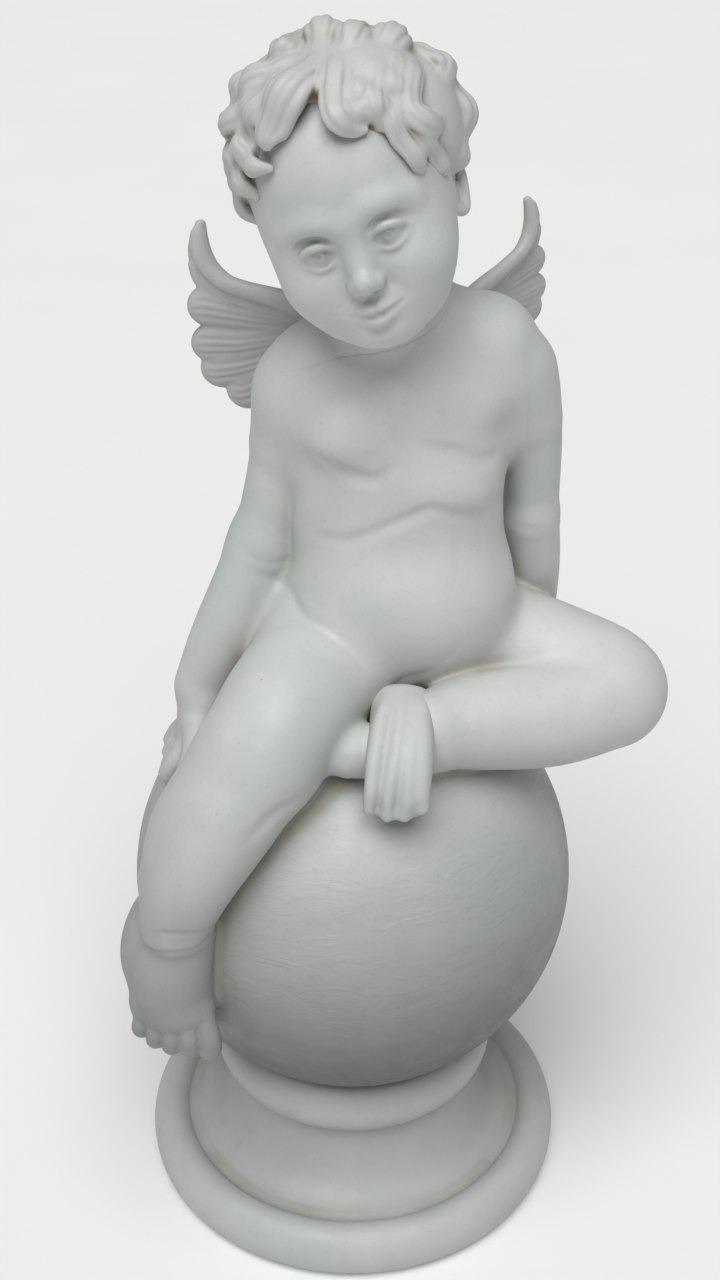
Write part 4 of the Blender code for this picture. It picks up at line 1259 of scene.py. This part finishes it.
@dataclass(frozen=True)
class PlasterFinish:
    """Matt off-white painted plaster, tinted in clouds, browned in its crevices, and greyed in its
    hollows as dust and painted shade.

    The painted shade fade is two heights and how much of its brightness the plaster keeps at the lower
    one: below the upper height the colour darkens, as painted shade of the light from above.
    """

    name: str
    slot: str
    pale: Triple = (0.56, 0.57, 0.56)
    cool: Triple = (0.48, 0.515, 0.495)
    warm: Triple = (0.53, 0.52, 0.512)
    stain: Triple = (0.21, 0.165, 0.085)
    # The grey of dust and painted shade in the hollows
    dust_and_shade: Triple = (0.34, 0.345, 0.315)
    staining: float = 0.35
    dust_and_shade_share: float = 0.35
    stroke: Triple = (55.0, 55.0, 16.0)
    stroke_depth: float = 0.00022
    stroke_twist: float = 0.8
    shift: Triple = (0.0, 0.0, 0.0)
    # Painted shade: darker towards the bottom, keeping half the brightness at 0.15 m
    painted_shade_fade: Triple = (0.15, 0.34, 0.50)

    OTHER_PLACE = (3.1, 1.7, 5.3)
    GRAIN_DEPTH = 0.00003

    def material(self) -> Material:
        """The finish as a node material."""
        made = bpy.data.materials.new(self.name)
        board = Board.emptied(made)
        place = board.moved(board.object_place(), self.shift)
        shader = board.node("ShaderNodeBsdfPrincipled", {
            "Base Color": self.colour(board, place), "Normal": self.relief(board, place),
            "Metallic": 0.0,
            "Roughness": board.span(board.noise(place, 70.0, 3.0), 0.3, 0.7, 0.46, 0.66)})
        output = board.node("ShaderNodeOutputMaterial", {"Surface": shader.outputs[0]})
        output.is_active_output = True
        return made

    def colour(self, board: Board, place: NodeSocket) -> NodeSocket:
        """Clouds of cool and warm white, fine specks, painted shade that darkens towards the bottom,
        dust and painted shade where the clay is hollow, and brown stain in its crevices.
        """
        broad = board.span(board.noise(place, 8.0, 3.0), 0.36, 0.62, 0.0, 1.0)
        tint = board.mixed(broad, self.cool, self.pale)
        other = board.moved(place, self.OTHER_PLACE)
        warmth = board.span(board.noise(other, 12.0, 3.0), 0.5, 0.72, 0.0, 0.8)
        tint = board.mixed(warmth, tint, self.warm)
        specks = board.span(board.noise(place, 620.0, 3.0), 0.24, 0.46, 0.93, 1.0)
        stroked = board.moved(place, scale=self.stroke)
        smears = board.span(board.noise(stroked, 1.0, 3.0, 0.6), 0.32, 0.66, 0.965, 1.0)
        tint = board.mixed(1.0, tint, board.times(specks, smears), "MULTIPLY")
        # Painted shade: the colour darkens towards the bottom, standing in for the light that falls from
        # above
        low, high, kept = self.painted_shade_fade
        low_shade = board.span(board.parts(board.object_place())[2], low, high, kept, 1.0)
        tint = board.mixed(1.0, tint, low_shade, "MULTIPLY")
        crevice = self.attribute(board, "crevice")
        hollow = self.attribute(board, "hollow")
        patches = board.span(board.noise(other, 26.0, 4.0, 0.4), 0.36, 0.62, 0.15, 1.0)
        # Dust and painted shade: the hollows grey towards the dust colour
        dust_and_shade_mix = board.times(board.maths("POWER", hollow, 1.6), self.dust_and_shade_share)
        tint = board.mixed(dust_and_shade_mix, tint, self.dust_and_shade)
        narrow = board.span(crevice, 0.08, 0.62, 0.0, 1.0)
        deep = board.span(hollow, 0.05, 0.6, 0.35, 1.0)
        return board.mixed(board.times(narrow, patches, deep, self.staining), tint, self.stain)

    def relief(self, board: Board, place: NodeSocket) -> NodeSocket:
        """Brush strokes under a fine grain, as a bump."""
        strokes = board.noise(board.moved(place, scale=self.stroke), 1.0, 5.0, self.stroke_twist)
        sockets = {"Strength": 1.0, "Distance": self.stroke_depth, "Height": strokes}
        bump = board.node("ShaderNodeBump", sockets).outputs[0]
        grain = board.noise(place, 1100.0, 2.0)
        sockets = {"Strength": 1.0, "Distance": self.GRAIN_DEPTH, "Height": grain, "Normal": bump}
        return board.node("ShaderNodeBump", sockets).outputs[0]

    @staticmethod
    def attribute(board: Board, name: str) -> NodeSocket:
        """A number that the mesh keeps at each of its points."""
        made = board.node("ShaderNodeAttribute", {})
        made.attribute_name = name
        return made.outputs["Fac"]

    def dress(self, piece: Object, node: str) -> None:
        """Give a piece this finish and its body, and hide the node that it stands for."""
        piece.data.materials.clear()
        piece.data.materials.append(self.material())
        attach(piece, "root")
        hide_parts(node)
        triangles = sum(len(face.vertices) - 2 for face in piece.data.polygons)
        LOG.info("%s: %d triangles", piece.name, triangles)


SKIN = PlasterFinish("skin_plaster", "figure_plaster")
HAIR = PlasterFinish(
    "hair_plaster", "figure_plaster", pale=(0.53, 0.535, 0.52), cool=(0.44, 0.465, 0.445),
    warm=(0.50, 0.485, 0.465), staining=0.95, dust_and_shade_share=0.55, stroke=(120.0, 120.0, 40.0))
FEATHER = PlasterFinish(
    "feather_plaster", "figure_plaster", pale=(0.46, 0.465, 0.455), cool=(0.39, 0.405, 0.395),
    warm=(0.43, 0.415, 0.40), staining=0.95, dust_and_shade_share=0.55, shift=(0.4, 0.2, 0.7),
    stroke=(90.0, 90.0, 90.0))
CLOTH = PlasterFinish("cloth_plaster", "figure_plaster", staining=0.4)
# The ball's painted shade is strong: low down it keeps about a quarter of its brightness
BALL = PlasterFinish(
    "ball_plaster", "figure_plaster", pale=(0.50, 0.505, 0.50), cool=(0.43, 0.46, 0.44),
    warm=(0.47, 0.46, 0.452), dust_and_shade_share=0.6, shift=(0.9, 0.3, 0.1), stroke=(26.0, 26.0, 80.0),
    stroke_depth=0.0006, stroke_twist=3.4, painted_shade_fade=(0.10, 0.29, 0.26))
PLINTH = PlasterFinish(
    "turned_plaster", "plinth_plaster", pale=(0.47, 0.48, 0.48), cool=(0.41, 0.435, 0.425),
    warm=(0.44, 0.435, 0.43), staining=0.25, dust_and_shade_share=0.3, shift=(0.2, 0.8, 0.5),
    painted_shade_fade=(-0.05, -0.04, 1.0))


class Former:
    """An object whose mesh comes out of a Geometry Nodes tree."""

    SAME_PLACE = 1e-6

    def __init__(self, name: str, start: Mesh, inputs: dict[str, float]) -> None:
        """Set up the object and a tree with named number inputs.

        Args:
            name: The piece's name.
            start: The mesh that the tree is given.
            inputs: Each input's name and value.
        """
        self.tree = bpy.data.node_groups.new(name, "GeometryNodeTree")
        for way in ("INPUT", "OUTPUT"):
            self.tree.interface.new_socket("Geometry", in_out=way, socket_type="NodeSocketGeometry")
        self.board = Board(self.tree)
        self.name = name
        self.start = start
        self.values = inputs
        self.keys = {}
        for key, value in inputs.items():
            kind = "NodeSocketInt" if isinstance(value, int) else "NodeSocketFloat"
            socket = self.tree.interface.new_socket(key, in_out="INPUT", socket_type=kind)
            self.keys[key] = socket.identifier
        self.group = self.tree.nodes.new("NodeGroupInput")

    def given(self, name: str) -> NodeSocket:
        """One of the tree's inputs."""
        return self.group.outputs[name]

    def shape(self, grid: bpy.types.Node, place: NodeSocket, material: Material,
              merge: bool = False) -> Object:
        """Move a grid's points, end the tree, evaluate it and keep the plain mesh.

        Args:
            grid: The node that makes the grid.
            place: Where each of its points goes.
            material: What Set Material gives it.
            merge: Whether points at one place become one.

        Returns:
            The finished object, with no modifier.
        """
        sockets = {"Geometry": grid.outputs[0], "Position": place}
        shaped = self.board.node("GeometryNodeSetPosition", sockets).outputs[0]
        if merge:
            sockets = {"Geometry": shaped, "Distance": self.SAME_PLACE}
            shaped = self.board.node("GeometryNodeMergeByDistance", sockets).outputs[0]
        real = self.board.node("GeometryNodeRealizeInstances", {"Geometry": shaped}).outputs[0]
        dressed = self.board.node("GeometryNodeSetMaterial", {"Geometry": real, "Material": material})
        self.board.node("NodeGroupOutput", {0: dressed.outputs[0]})
        draft = placed("draft", self.start)
        modifier = draft.modifiers.new("form", "NODES")
        modifier.node_group = self.tree
        for key, value in self.values.items():
            modifier[self.keys[key]] = value
        return Build.finished(Build.evaluated(draft), self.name)


@dataclass
class SeatBall:
    """The ball that the figure sits on, with the faint unevenness of hand-finished plaster."""

    radius: float = BALL_RADIUS
    height: float = BALL_HEIGHT
    across: int = 112
    relief: float = 0.0005
    seed: float = 4.0

    def take(self, whole: Clay, material: Material) -> Object:
        """The ball, as a cube's grid blown up to a sphere.

        Args:
            whole: The whole figure's clay.
            material: What the tree's Set Material gives it.

        Returns:
            The ball.
        """
        former = Former("seat_ball", bpy.data.meshes.new("empty"), {
            "Radius": self.radius, "Height": self.height, "Relief": self.relief,
            "Points Across": self.across, "Seed": self.seed})
        board = former.board
        side = former.given("Points Across")
        cube = board.node("GeometryNodeMeshCube", {
            "Size": (2, 2, 2), "Vertices X": side, "Vertices Y": side, "Vertices Z": side})
        # The tangent of each coordinate spreads the grid's cells evenly over the sphere
        parts = board.parts(board.node("GeometryNodeInputPosition", {}).outputs[0])
        even = [board.maths("TANGENT", board.times(parts[i], math.pi / 4)) for i in range(3)]
        outward = board.vector_maths("NORMALIZE", {0: board.vector(*even)})
        clouds = board.seeded(outward, former.given("Seed"), 3.2, 4.0)
        sunk = board.times(clouds, former.given("Relief"))
        reach = board.maths("SUBTRACT", former.given("Radius"), sunk)
        scaled = board.vector_maths("SCALE", {0: outward, 3: reach})
        lift = board.vector(0.0, 0.0, former.given("Height"))
        ball = former.shape(cube, board.vector_maths("ADD", {0: scaled, 1: lift}), material)
        self.darken(ball.data, whole)
        return ball

    def darken(self, mesh: Mesh, whole: Clay) -> None:
        """Mark where the figure comes close to the ball, which the finish greys as dust and painted
        contact shade.
        """
        points = (points_of(mesh) - Build.PLACE) / UNIT
        outward = points - (0, 0, SEAT_LEVEL - BALL_UNITS)
        outward /= np.linalg.norm(outward, axis=1, keepdims=True)
        Build.shade(mesh, points, outward, whole, whole)


@dataclass
class Plinth:
    """The turned plinth: a round rim that dips to a cove, and a collar that holds the ball."""

    height: float = PLINTH_HEIGHT
    radius: float = PLINTH_RADIUS
    foot_radius: float = 0.104
    foot_round: float = 0.0012
    rim_width: float = 0.023
    rim_height: float = 0.0265
    rim_dip: float = 0.0045
    rim_rise: float = 0.58
    neck_radius: float = 0.063
    collar_radius: float = 0.0745
    collar_height: float = 0.0285
    rim_ledge: float = 0.001
    turns: int = 320
    unevenness: float = 0.0004
    chips: float = 0.0012
    stain_width: float = 0.0035
    dust_and_shade_width: float = 0.011
    seed: float = 2.0

    @staticmethod
    def arc(centre: Sequence, radii: Sequence, start: float, end: float, count: int) -> list:
        """Points along a piece of an ellipse, from one angle to another in degrees."""
        angles = np.radians(np.linspace(start, end, count))
        return [(centre[0] + radii[0] * math.cos(a), centre[1] + radii[1] * math.sin(a)) for a in angles]

    def profile(self) -> list:
        """Radius and height from the underside's middle, up the outside, to the seat's middle."""
        rim_half = self.rim_width / 2
        rim_inner = self.radius - self.rim_width
        rise = self.rim_height * self.rim_rise
        cove_low = self.rim_height - self.rim_dip
        cove_high = self.height - self.collar_height
        foot_flat = self.foot_radius - self.foot_round
        line = [(0.0, 0.0), (self.foot_radius * 0.5, 0.0), (foot_flat, 0.0)]
        line += self.arc((foot_flat, self.foot_round), (self.foot_round,) * 2, -70, -20, 3)
        line += self.arc((rim_inner + rim_half, self.rim_height - rise), (rim_half, rise), -25, 140, 34)
        cove_foot = rim_inner - self.rim_ledge
        line += self.arc((cove_foot, cove_high), (cove_foot - self.neck_radius, cove_high - cove_low),
                         270, 180, 30)
        line += self.arc((self.neck_radius, self.height - self.collar_height / 2),
                         (self.collar_radius - self.neck_radius, self.collar_height / 2), -75, 72, 26)
        seat = BALL_RADIUS + SEAT_CLEARANCE
        edge = -math.degrees(math.acos(SEAT_DIAMETER / 2 / seat))
        line += self.arc((0.0, BALL_HEIGHT), (seat, seat), edge, -90, 8)
        return line

    def take(self, material: Material) -> Object:
        """The profile turned about the upright axis, a little uneven and chipped along the rim.

        Args:
            material: What the tree's Set Material gives it.

        Returns:
            The plinth.
        """
        line = self.profile()
        start = bpy.data.meshes.new("profile")
        start.from_pydata([(radius, 0.0, height) for radius, height in line], [], [])
        former = Former("turned_plinth_finish", start, {
            "Turns": self.turns + 1, "Profile Points": len(line), "Unevenness": self.unevenness,
            "Chips": self.chips, "Rim Height": self.rim_height, "Rim Radius": self.radius,
            "Seed": self.seed})
        board = former.board
        rows = former.given("Profile Points")
        sockets = {"Vertices X": former.given("Turns"), "Vertices Y": rows}
        grid = board.node("GeometryNodeMeshGrid", sockets)
        number = board.node("GeometryNodeInputIndex", {}).outputs[0]
        ring = board.maths("FLOOR", board.maths("DIVIDE", board.maths("ADD", number, 0.5), rows))
        step = board.maths("ROUND", board.maths("SUBTRACT", number, board.times(ring, rows)))
        sample = board.node("GeometryNodeSampleIndex", {})
        sample.data_type = "FLOAT_VECTOR"
        position = board.node("GeometryNodeInputPosition", {}).outputs[0]
        for key, value in (("Geometry", former.given("Geometry")), ("Value", position), ("Index", step)):
            board.tree.links.new(value, sample.inputs[key])
        point = board.parts(sample.outputs[0])
        around = board.maths("DIVIDE", ring, board.maths("SUBTRACT", former.given("Turns"), 1.0))
        angle = board.times(around, 2 * math.pi)
        cosine, sine = board.maths("COSINE", angle), board.maths("SINE", angle)
        radius = self.weathered(former, point[0], point[2], cosine, sine)
        place = board.vector(board.times(radius, cosine), board.times(radius, sine), point[2])
        plinth = former.shape(grid, place, material, merge=True)
        self.darken(plinth.data)
        return plinth

    @staticmethod
    def weathered(former: Former, radius: NodeSocket, height: NodeSocket, cosine: NodeSocket,
                  sine: NodeSocket) -> NodeSocket:
        """Draw the outside in a little, unevenly, and chip the rim's lower edge.

        Args:
            former: The object that is being formed.
            radius: The profile's radius.
            height: The profile's height.
            cosine: The cosine of the turn.
            sine: The sine of the turn.

        Returns:
            The weathered radius.
        """
        board = former.board
        place = board.vector(cosine, sine, board.times(height, 12.0))
        clouds = board.seeded(place, former.given("Seed"), 2.2, 4.0)
        sunk = board.times(clouds, former.given("Unevenness"))
        nicks = board.seeded(place, former.given("Seed"), 9.0, 3.0)
        deep = board.span(nicks, 0.60, 0.72, 0.0, 1.0)
        low = board.span(board.maths("DIVIDE", height, former.given("Rim Height")), 0.0, 0.35, 1.0, 0.0)
        share = board.maths("DIVIDE", radius, former.given("Rim Radius"))
        where = board.times(low, board.span(share, 0.90, 0.96, 0.0, 1.0))
        chip = board.times(deep, where, former.given("Chips"))
        outside = board.span(radius, 0.02, 0.06, 0.0, 1.0)
        return board.maths("SUBTRACT", radius, board.times(board.maths("ADD", sunk, chip), outside))

    def darken(self, mesh: Mesh) -> None:
        """Mark the cove, the joint under the collar and the seat's edge: brown stain in each, and dust
        and painted shade in the cove and under the collar.
        """
        x, y, height = points_of(mesh).T
        radius = np.hypot(x, y)
        dip = np.array((self.radius - self.rim_width, self.rim_height - self.rim_dip))
        joint = np.array((self.neck_radius, self.height - self.collar_height))
        edge = np.array((SEAT_DIAMETER / 2, self.height))
        for name, width, places in (("crevice", self.stain_width, (dip, joint, edge)),
                                    ("hollow", self.dust_and_shade_width, (dip, joint))):
            marks = [np.exp(-(np.hypot(radius - place[0], height - place[1]) / width) ** 2)
                     for place in places]
            Build.attribute(mesh, name, np.max(marks, 0))


@dataclass
class Studio:
    """A pale floor, soft light from above and the camera at the photograph's angle."""

    camera_place: Triple = (0.0, -0.700, 0.725)
    camera_fall: float = 30.2
    lens: float = 47.78
    shift: float = 7.0 / 1280.0
    drop: float = -0.0017
    floor_reach: float = 7.0
    world_light: float = 0.18
    sun_power: float = 3.0
    sun_spread: float = 50.0
    sun_turn: Triple = (26.0, -5.0, 0.0)

    def build(self) -> None:
        """Floor, lights and camera."""
        self.floor()
        self.world()
        lamp = bpy.data.lights.new("overhead", "SUN")
        lamp.energy = self.sun_power
        lamp.angle = math.radians(self.sun_spread)
        placed("overhead", lamp).rotation_euler = [math.radians(angle) for angle in self.sun_turn]
        camera = bpy.data.cameras.new("camera")
        camera.lens = self.lens
        camera.shift_x = self.shift
        camera.shift_y = self.drop
        made = placed("camera", camera)
        made.location = self.camera_place
        made.rotation_euler = (math.radians(90 - self.camera_fall), 0, 0)
        bpy.context.scene.camera = made
        bpy.context.scene.view_settings.view_transform = "Standard"

    def floor(self) -> None:
        """A wide flat floor just under the plinth."""
        reach = self.floor_reach
        mesh = bpy.data.meshes.new("floor")
        corners = [(reach * x, reach * y, 0) for x, y in ((-1, -1), (1, -1), (1, 1), (-1, 1))]
        mesh.from_pydata(corners, [], [(0, 1, 2, 3)])
        floor = placed("floor", mesh)
        made = bpy.data.materials.new("pale_floor")
        board = Board.emptied(made)
        clouds = board.noise(board.object_place(), 3.0, 2.0)
        tint = board.mixed(clouds, (0.80, 0.80, 0.795), (0.84, 0.84, 0.835))
        shader = board.node("ShaderNodeBsdfPrincipled", {"Base Color": tint, "Roughness": 0.8})
        board.node("ShaderNodeOutputMaterial", {"Surface": shader.outputs[0]})
        mesh.materials.append(made)

    def world(self) -> None:
        """Even pale light from all round."""
        world = bpy.data.worlds.new("studio")
        board = Board.emptied(world)
        sockets = {"Color": (1.0, 1.0, 1.0, 1.0), "Strength": self.world_light}
        sky = board.node("ShaderNodeBackground", sockets)
        board.node("ShaderNodeOutputWorld", {"Surface": sky.outputs[0]})
        bpy.context.scene.world = world


def whole_clay(figure: Figure, step: float = 1.7) -> Clay:
    """The whole figure and the ball in one coarse block, for its hollows.

    Args:
        figure: The body.
        step: The grid's step.

    Returns:
        The clay.
    """
    clay = Clay(WHOLE_LOW, WHOLE_HIGH, step)
    clay.add(Ellipsoid((0, 0, SEAT_LEVEL - BALL_UNITS), (BALL_UNITS,) * 3), 1)
    figure.model(clay)
    Head(figure).model(clay)
    Hair().model(clay)
    for side in Side:
        Wing(side).model(clay)
    LapCloth().model(clay)
    return clay


def main() -> None:
    """Build the pieces in order, dress them and report each one."""
    logging.basicConfig(level=logging.INFO, format="%(name)s: %(message)s")
    figure = Figure()
    whole = whole_clay(figure)
    carved = [(SKIN, figure), (SKIN, Head(figure)), (HAIR, Hair())]
    carved += [(FEATHER, Wing(side)) for side in Side]
    carved += [(CLOTH, LapCloth())]
    for finish, piece in carved:
        finish.dress(piece.take(whole), "cherub_on_ball")
    BALL.dress(SeatBall().take(whole, BALL.material()), "cherub_on_ball")
    PLINTH.dress(Plinth().take(PLINTH.material()), "turned_plinth")
    Studio().build()


if __name__ == "__main__":
    main()
